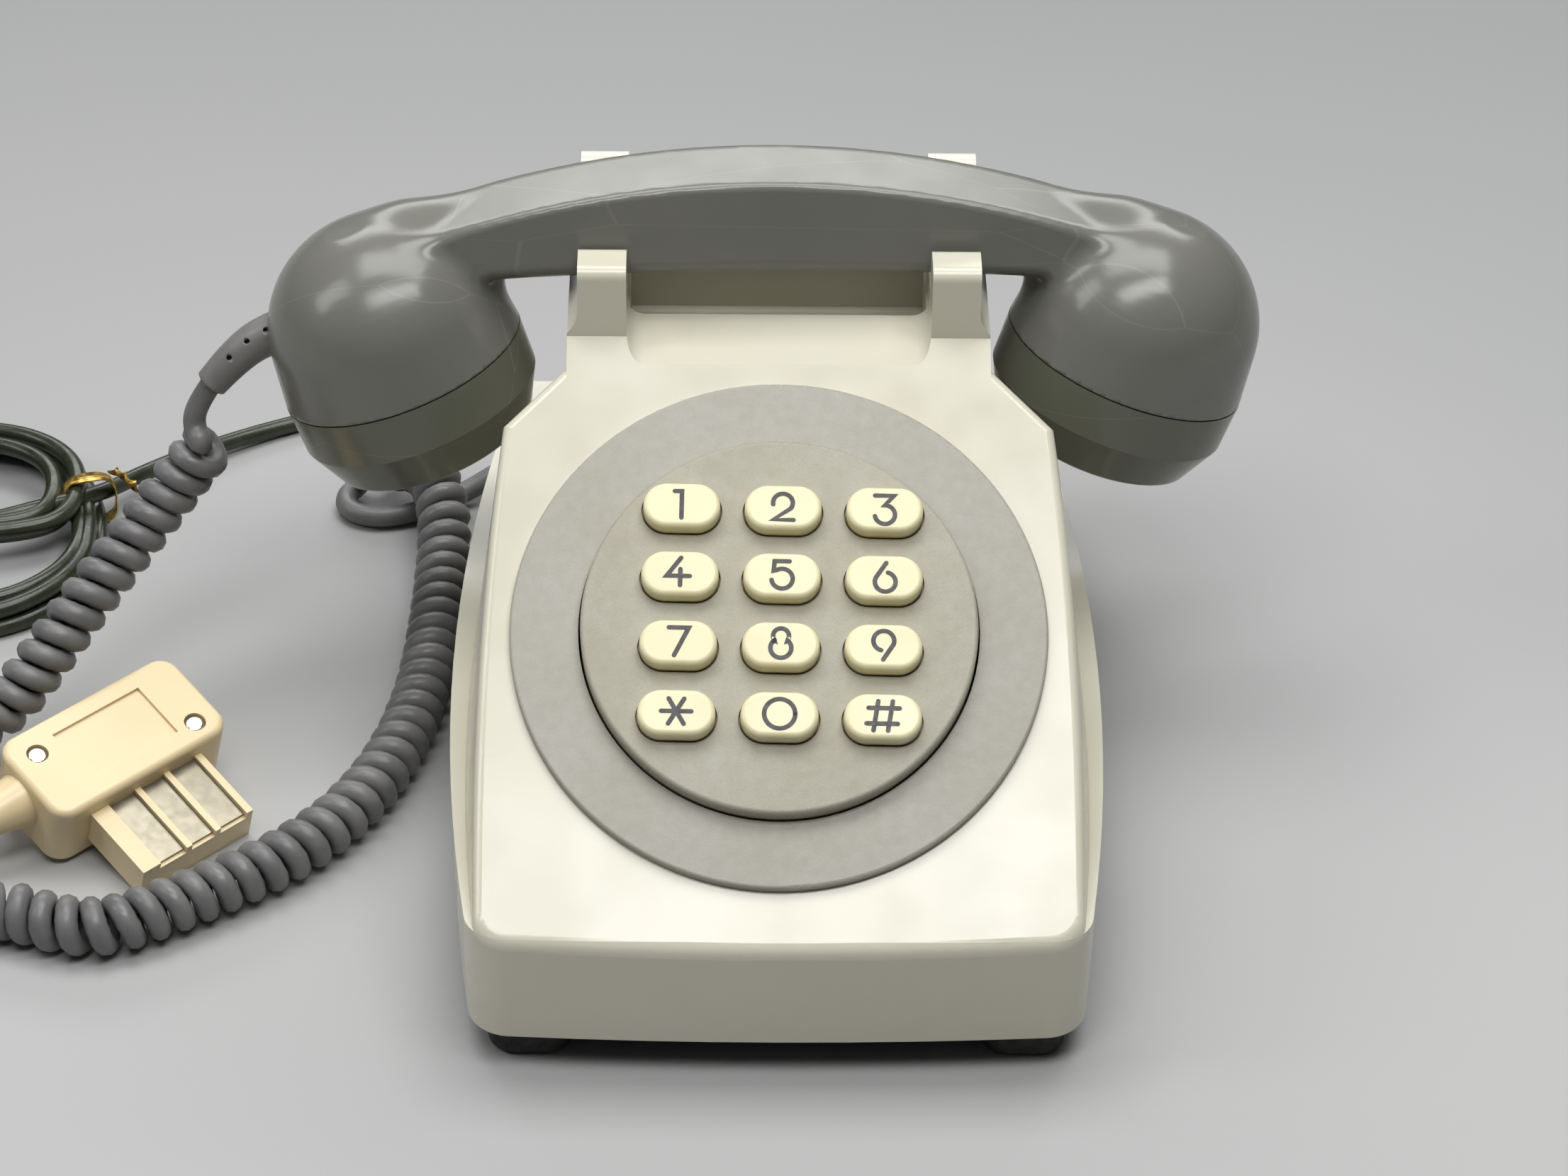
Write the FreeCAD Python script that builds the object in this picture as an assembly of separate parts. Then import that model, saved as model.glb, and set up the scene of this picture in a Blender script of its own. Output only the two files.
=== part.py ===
"""Corded push-button desk telephone: casing, dial unit, twelve keys, handset, ringer and cords.

Everything is built in case coordinates, in mm: x runs to the right from the middle of the casing,
y runs back from the front apron and z runs up from the table.  save() then moves each shape into
the row frame, whose origin is the bottom centre of the telephone's own box, cords left out.
"""
import math
import os

import FreeCAD
import Part

Vec = FreeCAD.Vector
UP = Vec(0, 0, 1)

# casing
FACE_ANGLE = 30.0
APRON_TOP = 38.4
CASE_BOTTOM = 10.0
BACK_Y = 200.0
WALL = 2.6
SKIRT_HALF = (67.5, 75.4, 65.0)  # half widths at the front, the widest place and the back
WEDGE_HALF = (65.6, 72.2, 61.0)
WIDEST_Y = 92.0
FRONT_BOW = 2.2
CORNER_R = 10.0
FRONT_EDGE_R = 4.0  # rounding where the sloping face meets the apron
SIDE_DRAFT = 0.15  # the wedge's side walls lean in by this much for each mm of height
SHOULDER_FRONT = (61.8, 107.5)
SHOULDER_BACK = (49.5, 118.7)
REAR_DECK_Z = 60.0

SCREW_Y = (32.0, 168.0)

# cradle
NECK_HALF = 48.5
EAR_HALF = 46.0
EAR_GAP_HALF = 34.9
FRONT_EAR_Y = 124.6
FRONT_EAR_TOP = 127.4
REAR_EAR_TOP = 133.0
REAR_EAR_BACK_Y = 169.0
SHELF_Y = 118.6
SHELF_Z = 106.9
TROUGH = (138.5, 158.5, 97.0)  # front edge, back edge and floor of the trough under the handle

# dial unit, on the sloping face; heights are measured along the face's outward normal
DIAL_Y = 61.8
RING_R = 60.0
RING_HOLE_R = 44.7
RING_TOP = 2.4
PLATE_R = 44.2
PLATE_TOP = 6.4
PLATE_THICK = 2.5
PLATE_RIM = 0.9
KEY_TOP = 10.4
KEY_SIZE = (17.2, 10.6)
KEY_PITCH = (22.65, 16.32)
KEY_OFFSET = (0.35, 2.0)
KEY_GAP = 0.45
KEY_TRAVEL = 2.2
KEYPAD_TURN = -1.0
KEY_ROWS = (("1", "2", "3"), ("4", "5", "6"), ("7", "8", "9"), ("star", "0", "hash"))
BOARD_TOP = -1.6
FIT = 0.3  # clearance between pieces that move against each other

# handset
HANDSET_SHIFT = -3.0
HANDSET_AT = (137.2, 118.6)  # y and z of the handle's lower front edge, in the middle
HANDSET_LEAN = 10.0
HANDSET_YAW = 1.2
HANDLE_DEPTH = 21.0
HANDLE_HEIGHT = 22.6
HANDLE_RISE = 2.8  # how much higher the handle is at its back than at its front
TOP_ARCH_R = 222.0
UNDER_ARCH_R = 1000.0
CUP_REACH = 84.9
CUP_DROP = 26.0
CUP_TILT = 19.5
CUP_R = 29.3
CUP_SIDE = 13.0  # height of the cup's nearly straight side above its seam
CUP_TOP = 36.0
SHELL = 2.8

# hook switch plungers in the front of the cradle
PLUNGER_X = 41.0
PLUNGER_Y = 146.0
PLUNGER_SIZE = (4.0, 7.0)

# cords
WIRE_R = 2.7
CURLY_R = 7.0
LINE_R = 2.2
BOOT_R = (5.6, 3.9)
GROMMET_R = (4.6, 3.4)
BOOT_ROUTE = ((-106.0, 144.0, 101.5), (-118.0, 143.0, 98.2), (-126.4, 142.0, 92.6), (-132.8, 140.5, 85.0))
HANDSET_LEAD = ((-132.8, 140.5, 85.0), (-136.6, 140.2, 79.2), (-138.2, 140.0, 72.8), (-136.6, 139.8, 66.6))
CURLY_ROUTE = (
    (-134.4, 139.8, 68.0), (-139.5, 138.8, 61.5), (-146.5, 134.5, 53.5), (-154.0, 128.0, 46.3),
    (-161.0, 121.0, 39.8), (-167.8, 114.0, 33.2), (-174.5, 107.5, 26.0), (-181.8, 101.5, 18.5),
    (-191.0, 97.5, 13.8), (-203.0, 95.0, 12.8), (-215.5, 91.0, 11.0), (-227.0, 83.5, 8.5),
    (-236.0, 73.0, 7.1), (-239.5, 60.0, 7.1), (-236.5, 47.5, 7.1), (-227.0, 38.0, 7.1),
    (-214.0, 34.0, 7.1), (-200.5, 37.0, 7.1), (-188.0, 42.0, 7.1), (-176.0, 43.0, 7.1),
    (-164.5, 38.0, 7.1), (-153.0, 36.5, 7.1), (-140.5, 43.0, 7.1), (-127.0, 51.5, 7.1),
    (-114.0, 60.5, 7.1), (-102.5, 73.0, 7.1), (-94.0, 88.0, 7.1), (-88.3, 104.5, 7.1),
    (-85.0, 122.0, 7.1), (-83.6, 140.0, 7.1), (-83.0, 158.0, 7.1), (-82.8, 174.0, 8.0),
    (-83.4, 186.5, 11.2), (-86.0, 197.0, 13.4), (-92.0, 204.5, 12.8), (-101.0, 208.0, 9.6),
)
BASE_LEAD = (
    (-99.5, 208.0, 5.0), (-106.5, 207.5, 3.6), (-110.5, 202.5, 2.9), (-108.5, 196.8, 2.9),
    (-102.0, 194.2, 2.9), (-94.5, 195.6, 2.9), (-87.0, 199.4, 2.9), (-80.0, 203.8, 3.4),
    (-73.5, 207.2, 5.6), (-66.2, 210.2, 9.2),
)
HANDSET_GROMMET = ((-53.0, 199.0, 15.0), (-66.2, 210.2, 9.2))
LINE_GROMMET = ((-30.0, 197.0, 14.0), (-30.0, 208.0, 14.0))
LINE_ROUTE = (
    (-30.0, 208.0, 14.0), (-30.3, 220.0, 12.5), (-33.0, 232.0, 8.0), (-42.0, 242.0, 3.4),
    (-57.0, 248.0, 2.3), (-76.0, 249.0, 2.3), (-100.0, 245.0, 2.3), (-124.0, 236.5, 2.3),
    (-145.0, 224.5, 3.4), (-161.0, 210.0, 6.0), (-172.0, 198.0, 7.4),
)
PLUG_CABLE = (
    (-203.0, 150.0, 5.0), (-202.5, 135.0, 3.4), (-203.5, 120.0, 2.3), (-206.5, 105.0, 2.3),
    (-211.5, 90.0, 2.3), (-213.0, 76.0, 2.8), (-209.0, 64.5, 5.6), (-200.0, 58.5, 9.6),
    (-189.0, 59.9, 13.9), (-181.2, 67.0, 14.5),
)
HANK_CENTRE = (-207.0, 187.5)
HANK_R = (46.0, 20.0)
HANK_HEIGHT = 13.0

# plug; it leans forward onto the tip of its contact block
PLUG_CENTRE = (-158.3, 89.5)
PLUG_TURN = 43.5
PLUG_TILT = 16.0
PLUG_SIZE = (50.0, 26.0, 18.0)
PLUG_LIFT = 5.3
INSERT_SIZE = (32.0, 20.0, 9.5)
INSERT_BOTTOM = 4.0
COLLAR_AT = (2.0, 9.0)  # across the plug and up from its underside
PLUG_SCREWS = ((-18.0, 5.5), (18.0, -7.5))


def face_z(y):
    """Height of the sloping face at depth y."""
    return APRON_TOP + y * math.tan(math.radians(FACE_ANGLE))


def box(x0, x1, y0, y1, z0, z1):
    return Part.makeBox(x1 - x0, y1 - y0, z1 - z0, Vec(x0, y0, z0))


def cylinder(radius, start, end):
    start, end = Vec(*start), Vec(*end)
    return Part.makeCylinder(radius, (end - start).Length, start, end - start)


def fuse(shapes):
    return shapes[0].multiFuse(list(shapes[1:])).removeSplitter()


def side_prism(points, half):
    """A prism across the telephone, from its outline in y and z."""
    wire = Part.makePolygon([Vec(-half, y, z) for y, z in (*points, points[0])])
    return Part.Face(wire).extrude(Vec(2 * half, 0, 0))


def plan_prism(points, z0, z1):
    wire = Part.makePolygon([Vec(x, y, z0) for x, y in (*points, points[0])])
    return Part.Face(wire).extrude(Vec(0, 0, z1 - z0))


def fillet(shape, radius, edges):
    """The filleted shape, or None where the kernel can't make it soundly."""
    try:
        rounded = shape.makeFillet(radius, edges)
    except Part.OCCError:
        return None
    sound = not rounded.isNull() and rounded.isValid() and rounded.Volume > 0.9 * shape.Volume
    return rounded if sound else None


def round_edges(shape, radius, wanted):
    """Fillet the edges that wanted() picks, one by one where they can't all be done together."""
    edges = [e for e in shape.Edges if wanted(e)]
    rounded = fillet(shape, radius, edges)
    if rounded:
        return rounded
    for edge in edges:
        match = [e for e in shape.Edges if (e.CenterOfMass - edge.CenterOfMass).Length < 0.01]
        shape = fillet(shape, radius, match[:1]) or shape
    return shape


def is_upright(edge):
    low, high = edge.Vertexes[0].Point, edge.Vertexes[-1].Point
    return abs((high - low).z) > 0.9 * edge.Length and edge.Length > 5


# ---------------------------------------------------------------- casing


def bowed_wire(halves, inset, z, front_y=0.0):
    """The casing's plan outline: bowed front, long bowed sides and a straight back."""
    front, widest, back = (h - inset for h in halves)
    y0, y1 = front_y + inset, BACK_Y - inset
    corners = [Vec(-front, y0, z), Vec(front, y0, z), Vec(back, y1, z), Vec(-back, y1, z)]
    bow = Vec(0, y0 - FRONT_BOW, z)
    right, left = Vec(widest, WIDEST_Y, z), Vec(-widest, WIDEST_Y, z)
    return Part.Wire([
        Part.Arc(corners[0], bow, corners[1]).toShape(),
        Part.Arc(corners[1], right, corners[2]).toShape(),
        Part.LineSegment(corners[2], corners[3]).toShape(),
        Part.Arc(corners[3], left, corners[0]).toShape(),
    ])


def skirt(inset, bottom):
    height = APRON_TOP - inset - bottom
    body = Part.Face(bowed_wire(SKIRT_HALF, inset, bottom)).extrude(Vec(0, 0, height))
    return body.makeFillet(CORNER_R - inset, [e for e in body.Edges if is_upright(e)])


def sliced_block(inset, bottom):
    """The casing's whole plan outline carried up to the sloping face, with its upper edge rounded."""
    body = Part.Face(bowed_wire(SKIRT_HALF, inset, bottom)).extrude(Vec(0, 0, 180 - bottom))
    body = body.makeFillet(CORNER_R - inset, [e for e in body.Edges if is_upright(e)])
    drop = inset / math.cos(math.radians(FACE_ANGLE))
    near, far = -20.0, BACK_Y + 20
    above = ((near, face_z(near) - drop), (far, face_z(far) - drop), (far, 260), (near, 260))
    body = body.cut(side_prism(above, 90))
    if inset:
        return body
    return body.makeFillet(FRONT_EDGE_R, [e for e in body.Edges if on_face(e)])


def wedge(inset):
    """The wide sloping body in front of the cradle, with its low deck behind the shoulders."""
    low, high = 30.0, 112.0
    before = -14.0
    wires = [
        bowed_wire(WEDGE_HALF, inset + SIDE_DRAFT * max(z - APRON_TOP, 0), z, before) for z in (low, high)
    ]
    body = Part.makeLoft(wires, True, True)
    rear_corners = [e for e in body.Edges if is_upright(e) and e.CenterOfMass.y > 100]
    body = body.makeFillet(CORNER_R - inset, rear_corners)
    drop = inset / math.cos(math.radians(FACE_ANGLE))
    back = SHOULDER_BACK[1] - inset
    profile = (
        (-30, low), (-30, face_z(-30) - drop), (back, face_z(back) - drop), (back, REAR_DECK_Z - inset),
        (176 - inset, REAR_DECK_Z - inset), (BACK_Y - 4 - inset, APRON_TOP), (BACK_Y - 4 - inset, low),
    )
    body = body.common(side_prism(profile, 90))
    (xf, yf), (xb, yb) = SHOULDER_FRONT, SHOULDER_BACK
    slope = (yf - yb) / (xf - xb)
    far = 90.0
    cuts = []
    for side in (-1, 1):
        outline = (
            (side * (xb - inset), 140), (side * (xb - inset), yb - inset),
            (side * far, yb - inset + slope * (far - xb + inset)), (side * far, 140),
        )
        cuts.append(plan_prism(outline, REAR_DECK_Z - inset, 130))
    return body.cut(fuse(cuts)).common(sliced_block(inset, 20))


def saddle_point(v, w):
    """A point of the handset's own v (depth) and w (height) axes, as y and z."""
    lean = math.radians(HANDSET_LEAN)
    y, z = HANDSET_AT
    return (y + v * math.cos(lean) + w * math.sin(lean), z - v * math.sin(lean) + w * math.cos(lean))


def neck_hollow():
    """The room inside the block that carries the cradle."""
    top = SHELF_Z - WALL
    profile = (
        (90, 50), (90, face_z(90) - 1.2 * WALL), (SHELF_Y - 4, face_z(SHELF_Y - 4) - 1.2 * WALL),
        (SHELF_Y + 3, top), (171.5 - WALL, top), (180 - WALL, REAR_DECK_Z - 6), (180 - WALL, 50),
    )
    return side_prism(profile, NECK_HALF - WALL)


def cradle():
    """The block behind the face, with its four ears and the saddle that holds the handle."""
    gap, back_gap = 1.4, 1.9
    front_top = saddle_point(-gap, 9.0)
    floor_front, floor_back = saddle_point(-gap, -1.5), saddle_point(HANDLE_DEPTH + back_gap, -1.5)
    back_top = saddle_point(HANDLE_DEPTH + back_gap, 15.5)
    profile = (
        (96, 50), (96, face_z(96)), (FRONT_EAR_Y, face_z(FRONT_EAR_Y)),
        (FRONT_EAR_Y + 1.6, FRONT_EAR_TOP), (front_top[0], FRONT_EAR_TOP), floor_front, floor_back,
        (back_top[0], REAR_EAR_TOP), (REAR_EAR_BACK_Y, REAR_EAR_TOP), (171.5, SHELF_Z),
        (180, REAR_DECK_Z - 6), (180, 50),
    )
    block = side_prism(profile, NECK_HALF)
    block = round_edges(block, 3.0, lambda e: e.Length > 80 and is_crest(e.CenterOfMass))
    block = block.cut(fuse([ear_cove(side) for side in (-1, 1)]))
    return round_edges(block, 2.0, lambda e: is_ear_flank(e.CenterOfMass))


def is_ear_flank(point):
    return abs(abs(point.x) - EAR_HALF) < 0.1 and point.z > 119


def ear_cove(side):
    """What is cut away beside the ears, so that they flare in a hollow curve to the wider neck."""
    radius, foot_z = 8.0, 117.0
    half_way = radius * math.sin(math.pi / 4)
    start = Vec(side * EAR_HALF, 90, foot_z)
    middle = Vec(side * (EAR_HALF + radius - half_way), 90, foot_z - half_way)
    end = Vec(side * (EAR_HALF + radius), 90, foot_z - radius)
    corners = [Vec(side * 60, 90, foot_z - radius), Vec(side * 60, 90, 145), Vec(side * EAR_HALF, 90, 145)]
    wire = Part.Wire([
        Part.Arc(start, middle, end).toShape(),
        Part.LineSegment(end, corners[0]).toShape(),
        Part.LineSegment(corners[0], corners[1]).toShape(),
        Part.LineSegment(corners[1], corners[2]).toShape(),
        Part.LineSegment(corners[2], start).toShape(),
    ])
    return Part.Face(wire).extrude(Vec(0, 110, 0))


def is_crest(point):
    on_front_ear = point.y < 139 and point.z > FRONT_EAR_TOP - 1
    return on_front_ear or point.z > REAR_EAR_TOP - 1


def between_ears():
    outline = ((SHELF_Y, SHELF_Z), (190, SHELF_Z), (190, 150), (SHELF_Y, 150))
    room = side_prism(outline, EAR_GAP_HALF)
    return round_edges(room, 4.0, lambda e: e.CenterOfMass.z < SHELF_Z + 0.1 and abs(e.CenterOfMass.x) > 30)


def trough(inset):
    front, back, floor = TROUGH
    profile = (
        (front - inset, 130), (front - inset, SHELF_Z), (front + 2.5 - inset, floor - inset),
        (back - 2.5 + inset, floor - inset), (back + inset, SHELF_Z), (back + inset, 130),
    )
    return side_prism(profile, EAR_GAP_HALF - 0.6 + inset)


def carrying_recess(inset):
    return box(-32 - inset, 32 + inset, 163 - inset, 185, 64 - inset, 90 + inset)


def in_face(shape):
    """Move a shape from the dial's own axes (right, up the slope, outwards) to the case."""
    turned = shape.copy()
    turned.rotate(Vec(0, 0, 0), Vec(1, 0, 0), FACE_ANGLE)
    turned.translate(Vec(0, DIAL_Y, face_z(DIAL_Y)))
    return turned


def plunger_pair(grow, bottom, top):
    return [
        box(x - PLUNGER_SIZE[0] / 2 - grow, x + PLUNGER_SIZE[0] / 2 + grow,
            PLUNGER_Y - PLUNGER_SIZE[1] / 2 - grow, PLUNGER_Y + PLUNGER_SIZE[1] / 2 + grow, bottom, top)
        for x in (-PLUNGER_X, PLUNGER_X)
    ]


def on_face(edge):
    middle = edge.CenterOfMass
    return abs(middle.z - face_z(middle.y)) < 0.5 and edge.Length > 8


def casing():
    rounded_wedge = round_edges(
        wedge(0), 2.2, lambda e: on_face(e) and abs(e.CenterOfMass.x) > 50 and 20 < e.CenterOfMass.y < 119)
    rim = skirt(0, CASE_BOTTOM).common(sliced_block(0, CASE_BOTTOM - 5))
    outer = fuse([rim, rounded_wedge, cradle()])
    outer = outer.cut(between_ears()).cut(trough(0)).cut(carrying_recess(0))
    outer = round_edges(outer, 2.0, is_ear_corner)
    shell = outer
    for room in (skirt(WALL, CASE_BOTTOM - 1), wedge(WALL), neck_hollow()):
        shell = shell.cut(room.cut(trough(WALL)).cut(carrying_recess(WALL)))
    shell = shell.cut(in_face(cylinder(52.0, (0, 0, -8), (0, 0, 8))))
    shell = shell.cut(fuse(plunger_pair(FIT, 95, 125)))
    for start, end in (HANDSET_GROMMET, LINE_GROMMET):
        way = (Vec(*end) - Vec(*start)).normalize()
        shell = shell.cut(Part.makeCylinder(GROMMET_R[0] + 0.1, 24, Vec(*start) - way * 12, way))
    return shell


def is_ear_corner(edge):
    """The upright inner corners of the ears, and the ridge in front of the shelf."""
    middle = edge.CenterOfMass
    inner = abs(abs(middle.x) - EAR_GAP_HALF) < 0.1 and middle.z > SHELF_Z + 6 and middle.y < 150
    ridge = abs(middle.y - SHELF_Y) < 0.1 and abs(middle.z - SHELF_Z) < 0.1 and edge.Length > 50
    return inner or ridge


def base_plate():
    plate = Part.Face(bowed_wire(SKIRT_HALF, 3.0, 7.0)).extrude(Vec(0, 0, 3.0))
    plate = plate.makeFillet(8.0, [e for e in plate.Edges if abs(e.Length - 3.0) < 0.01])
    holes = [cylinder(1.8, (x, y, 6), (x, y, 11)) for x in (-52, 52) for y in SCREW_Y]
    vents = [box(x - 1.5, x + 1.5, 96, 122, 6, 11) for x in range(-24, 25, 8)]
    return plate.cut(fuse(holes)).cut(fuse(vents))


def foot(side, y, deep):
    """A rubber foot that follows the casing's corner and is rounded where it meets the table."""
    inner, outer = sorted((side * 45.5, side * 64.5))
    block = box(inner, outer, y - deep / 2, y + deep / 2, 0, 7.0)
    block = block.makeFillet(6.0, [e for e in block.Edges if is_upright(e)])
    return block.makeFillet(2.5, [e for e in block.Edges if e.CenterOfMass.z < 0.01])


def case_screw(x, y):
    shank = cylinder(1.6, (x, y, 7), (x, y, 18))
    return fuse([shank, cylinder(3.2, (x, y, 5.6), (x, y, 7))])


# ---------------------------------------------------------------- dial unit


def stadium(width, height, z0, z1):
    """A key outline: straight top and bottom with half-round ends, extruded from z0 to z1."""
    half, radius = width / 2 - height / 2, height / 2
    square = ((-half, -radius), (half, -radius), (half, radius), (-half, radius))
    corners = [Vec(x, y, z0) for x, y in square]
    wire = Part.Wire([
        Part.LineSegment(corners[0], corners[1]).toShape(),
        Part.Arc(corners[1], Vec(half + radius, 0, z0), corners[2]).toShape(),
        Part.LineSegment(corners[2], corners[3]).toShape(),
        Part.Arc(corners[3], Vec(-half - radius, 0, z0), corners[0]).toShape(),
    ])
    return Part.Face(wire).extrude(Vec(0, 0, z1 - z0))


def key_place(column, row):
    return Vec((column - 1) * KEY_PITCH[0] + KEY_OFFSET[0], (1.5 - row) * KEY_PITCH[1] + KEY_OFFSET[1], 0)


def in_keypad(shape, column=None, row=None):
    """Place a shape on the keypad, which sits a degree askew in its ring."""
    placed = shape.copy()
    if column is not None:
        placed.translate(key_place(column, row))
    placed.rotate(Vec(0, 0, 0), UP, KEYPAD_TURN)
    return in_face(placed)


def dial_ring():
    ring = cylinder(RING_R, (0, 0, 0.05), (0, 0, RING_TOP))
    ring = ring.makeFillet(0.8, [e for e in ring.Edges if e.CenterOfMass.z > RING_TOP - 0.1])
    spigot = cylinder(51.7, (0, 0, -6), (0, 0, 0.05))
    return in_face(fuse([ring, spigot]).cut(cylinder(RING_HOLE_R, (0, 0, -7), (0, 0, 3))))


def keypad_faceplate():
    plate = cylinder(PLATE_R, (0, 0, -4), (0, 0, PLATE_TOP))
    plate = plate.makeFillet(1.0, [e for e in plate.Edges if e.CenterOfMass.z > PLATE_TOP - 0.1])
    plate = plate.cut(cylinder(PLATE_R - PLATE_RIM, (0, 0, -5), (0, 0, PLATE_TOP - PLATE_THICK)))
    holes = []
    for row in range(4):
        for column in range(3):
            hole = stadium(KEY_SIZE[0] + 2 * KEY_GAP, KEY_SIZE[1] + 2 * KEY_GAP, 0, 9)
            hole.translate(key_place(column, row))
            holes.append(hole)
    return in_keypad(plate.cut(fuse(holes)))


def key(column, row):
    """A keycap with a crowned edge, a flange that keeps it in the plate, and its stem.

    The flange of a corner key is trimmed to clear the plate's rim.
    """
    cap = stadium(*KEY_SIZE, 3.4, KEY_TOP)
    cap = cap.makeFillet(1.2, [e for e in cap.Edges if abs(e.CenterOfMass.z - KEY_TOP) < 0.01])
    flange = stadium(KEY_SIZE[0] + 2.2, KEY_SIZE[1] + 2.2, 2.4, 3.4)
    plate_room = Part.makeCylinder(PLATE_R - PLATE_RIM - FIT, 8, key_place(column, row) * -1, UP)
    flange = flange.common(plate_room)
    stem = cylinder(2.6, (0, 0, BOARD_TOP + 1.0 + KEY_TRAVEL + FIT), (0, 0, 2.6))
    return in_keypad(fuse([cap, flange, stem]), column, row)


def contact_domes():
    domes = []
    for row in range(4):
        for column in range(3):
            dome = Part.makeCone(4.6, 2.2, 1.0, Vec(0, 0, BOARD_TOP), UP)
            domes.append(in_keypad(dome, column, row))
    return Part.makeCompound(domes)


def keypad_board():
    return in_keypad(cylinder(PLATE_R - 2.5, (0, 0, BOARD_TOP - 1.6), (0, 0, BOARD_TOP)))


def keypad_frame():
    """The dish that closes the keypad from behind and carries its board."""
    rim = cylinder(PLATE_R, (0, 0, -6.5), (0, 0, -4.0))
    seat = cylinder(PLATE_R - 2.5, (0, 0, -6.5), (0, 0, BOARD_TOP - 1.6))
    opening = cylinder(34, (0, 0, -8), (0, 0, 0))
    bars = box(-40, 40, -3, 3, -6.5, -4.6)
    return in_keypad(fuse([fuse([rim, seat]).cut(opening), bars]))


# ---------------------------------------------------------------- handset


def in_handset(shape):
    """Move a shape from the handset's own axes (along, depth, height) to where it rests."""
    placed = shape.copy()
    placed.rotate(Vec(0, 0, 0), Vec(1, 0, 0), -HANDSET_LEAN)
    placed.rotate(Vec(0, HANDLE_DEPTH / 2, 0), UP, HANDSET_YAW)
    placed.translate(Vec(HANDSET_SHIFT, *HANDSET_AT))
    return placed


def in_cup(shape, side):
    """Move a shape whose axis is z and whose seam is at z=0 into the left or right cup."""
    placed = shape.copy()
    placed.rotate(Vec(0, 0, 0), Vec(0, 1, 0), side * CUP_TILT)
    placed.translate(Vec(side * CUP_REACH, HANDLE_DEPTH / 2, -CUP_DROP))
    return placed


def handle(inset):
    """The arched bar: a flat underside and a higher arch on top, which climbs towards the back."""
    reach = CUP_REACH + 3.0
    wires = []
    for depth, rise in ((inset, 0.0), (HANDLE_DEPTH - inset, HANDLE_RISE)):
        top = HANDLE_HEIGHT + rise - inset
        top_end = top - reach ** 2 / (2 * TOP_ARCH_R)
        under_end = inset - reach ** 2 / (2 * UNDER_ARCH_R)
        points = [Vec(-reach, depth, under_end), Vec(reach, depth, under_end),
                  Vec(reach, depth, top_end), Vec(-reach, depth, top_end)]
        wires.append(Part.Wire([
            Part.Arc(points[0], Vec(0, depth, inset), points[1]).toShape(),
            Part.LineSegment(points[1], points[2]).toShape(),
            Part.Arc(points[2], Vec(0, depth, top), points[3]).toShape(),
            Part.LineSegment(points[3], points[0]).toShape(),
        ]))
    return Part.makeLoft(wires, True, True)


def revolve(profile):
    """Turn an outline of radius and height points about z; a third number makes an arc's middle."""
    edges = []
    start = profile[0]
    for step in profile[1:]:
        a = Vec(start[0], 0, start[1])
        if len(step) == 4:
            b = Vec(step[2], 0, step[3])
            edges.append(Part.Arc(a, Vec(step[0], 0, step[1]), b).toShape())
            start = step[2:]
        else:
            edges.append(Part.LineSegment(a, Vec(step[0], 0, step[1])).toShape())
            start = step
    first = profile[0]
    edges.append(Part.LineSegment(Vec(start[0], 0, start[1]), Vec(first[0], 0, first[1])).toShape())
    return Part.Face(Part.Wire(edges)).revolve(Vec(0, 0, 0), UP, 360)


def cup_dome(inset):
    """The cup above its seam: a slightly tapering side, then a dome."""
    radius, top = CUP_R - inset, CUP_TOP - inset
    shoulder = (radius * 0.72, CUP_SIDE + (top - CUP_SIDE) * 0.635)
    return revolve(((0, 0), (radius, 0), (radius - 1.5, CUP_SIDE), (*shoulder, 6.0, top), (0, top + 0.2)))


def is_crisp(point):
    """True on the handle's upper front edge, the only one that isn't well rounded."""
    return point.y < 5 and point.z > 10


def handset_shell():
    bar = handle(0)
    bar = round_edges(bar, 4.0, lambda e: e.Length > 100 and not is_crisp(e.CenterOfMass))
    bar = round_edges(bar, 1.3, lambda e: e.Length > 100 and is_crisp(e.CenterOfMass))
    domes = [in_cup(cup_dome(0), side) for side in (-1, 1)]
    shell = fuse([bar, *domes])
    hollows = [handle(SHELL), *(in_cup(cup_dome(SHELL), side) for side in (-1, 1))]
    mouths = [in_cup(cylinder(CUP_R - SHELL, (0, 0, -1), (0, 0, 0.5)), side) for side in (-1, 1)]
    shell = shell.cut(fuse(hollows)).cut(fuse(mouths))
    return in_handset(shell).cut(boot(BOOT_ROUTE, BOOT_R[0] + 0.1, BOOT_R[1] + 0.1))


def screw_cap(side, hole_ring):
    """A screw-on cap: knurl-free band, bevelled rim, dished face with its sound holes."""
    outline = ((0, 0), (CUP_R, 0), (CUP_R - 0.3, -11), (24.4, -20.6), (21, -22, 17, -21.4), (0, -20.4))
    outer = revolve(outline)
    inner = revolve(((0, 1), (25.2, 1), (25.2, -11), (20.5, -18.0), (0, -18.0)))
    collar = cylinder(25.6, (0, 0, -1.5), (0, 0, 6.0)).cut(cylinder(24.3, (0, 0, -2), (0, 0, 7)))
    cap = fuse([outer.cut(inner), collar])
    holes = [cylinder(1.2, (0, 0, -24), (0, 0, -16))]
    for radius, count in hole_ring:
        for i in range(count):
            angle = 2 * math.pi * i / count
            x, y = radius * math.cos(angle), radius * math.sin(angle)
            holes.append(cylinder(1.2, (x, y, -24), (x, y, -16)))
    return in_handset(in_cup(cap.cut(fuse(holes)), side))


def capsule(side, radius, thick):
    """A round transducer with a stepped front, resting on the inside of its cap."""
    low = -17.9
    body = cylinder(radius, (0, 0, low + 2), (0, 0, low + thick))
    front = cylinder(radius - 3, (0, 0, low), (0, 0, low + 2))
    terminals = [cylinder(1.2, (x, 0, low + thick), (x, 0, low + thick + 3)) for x in (-6, 6)]
    return in_handset(in_cup(fuse([body, front, *terminals]), side))


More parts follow.
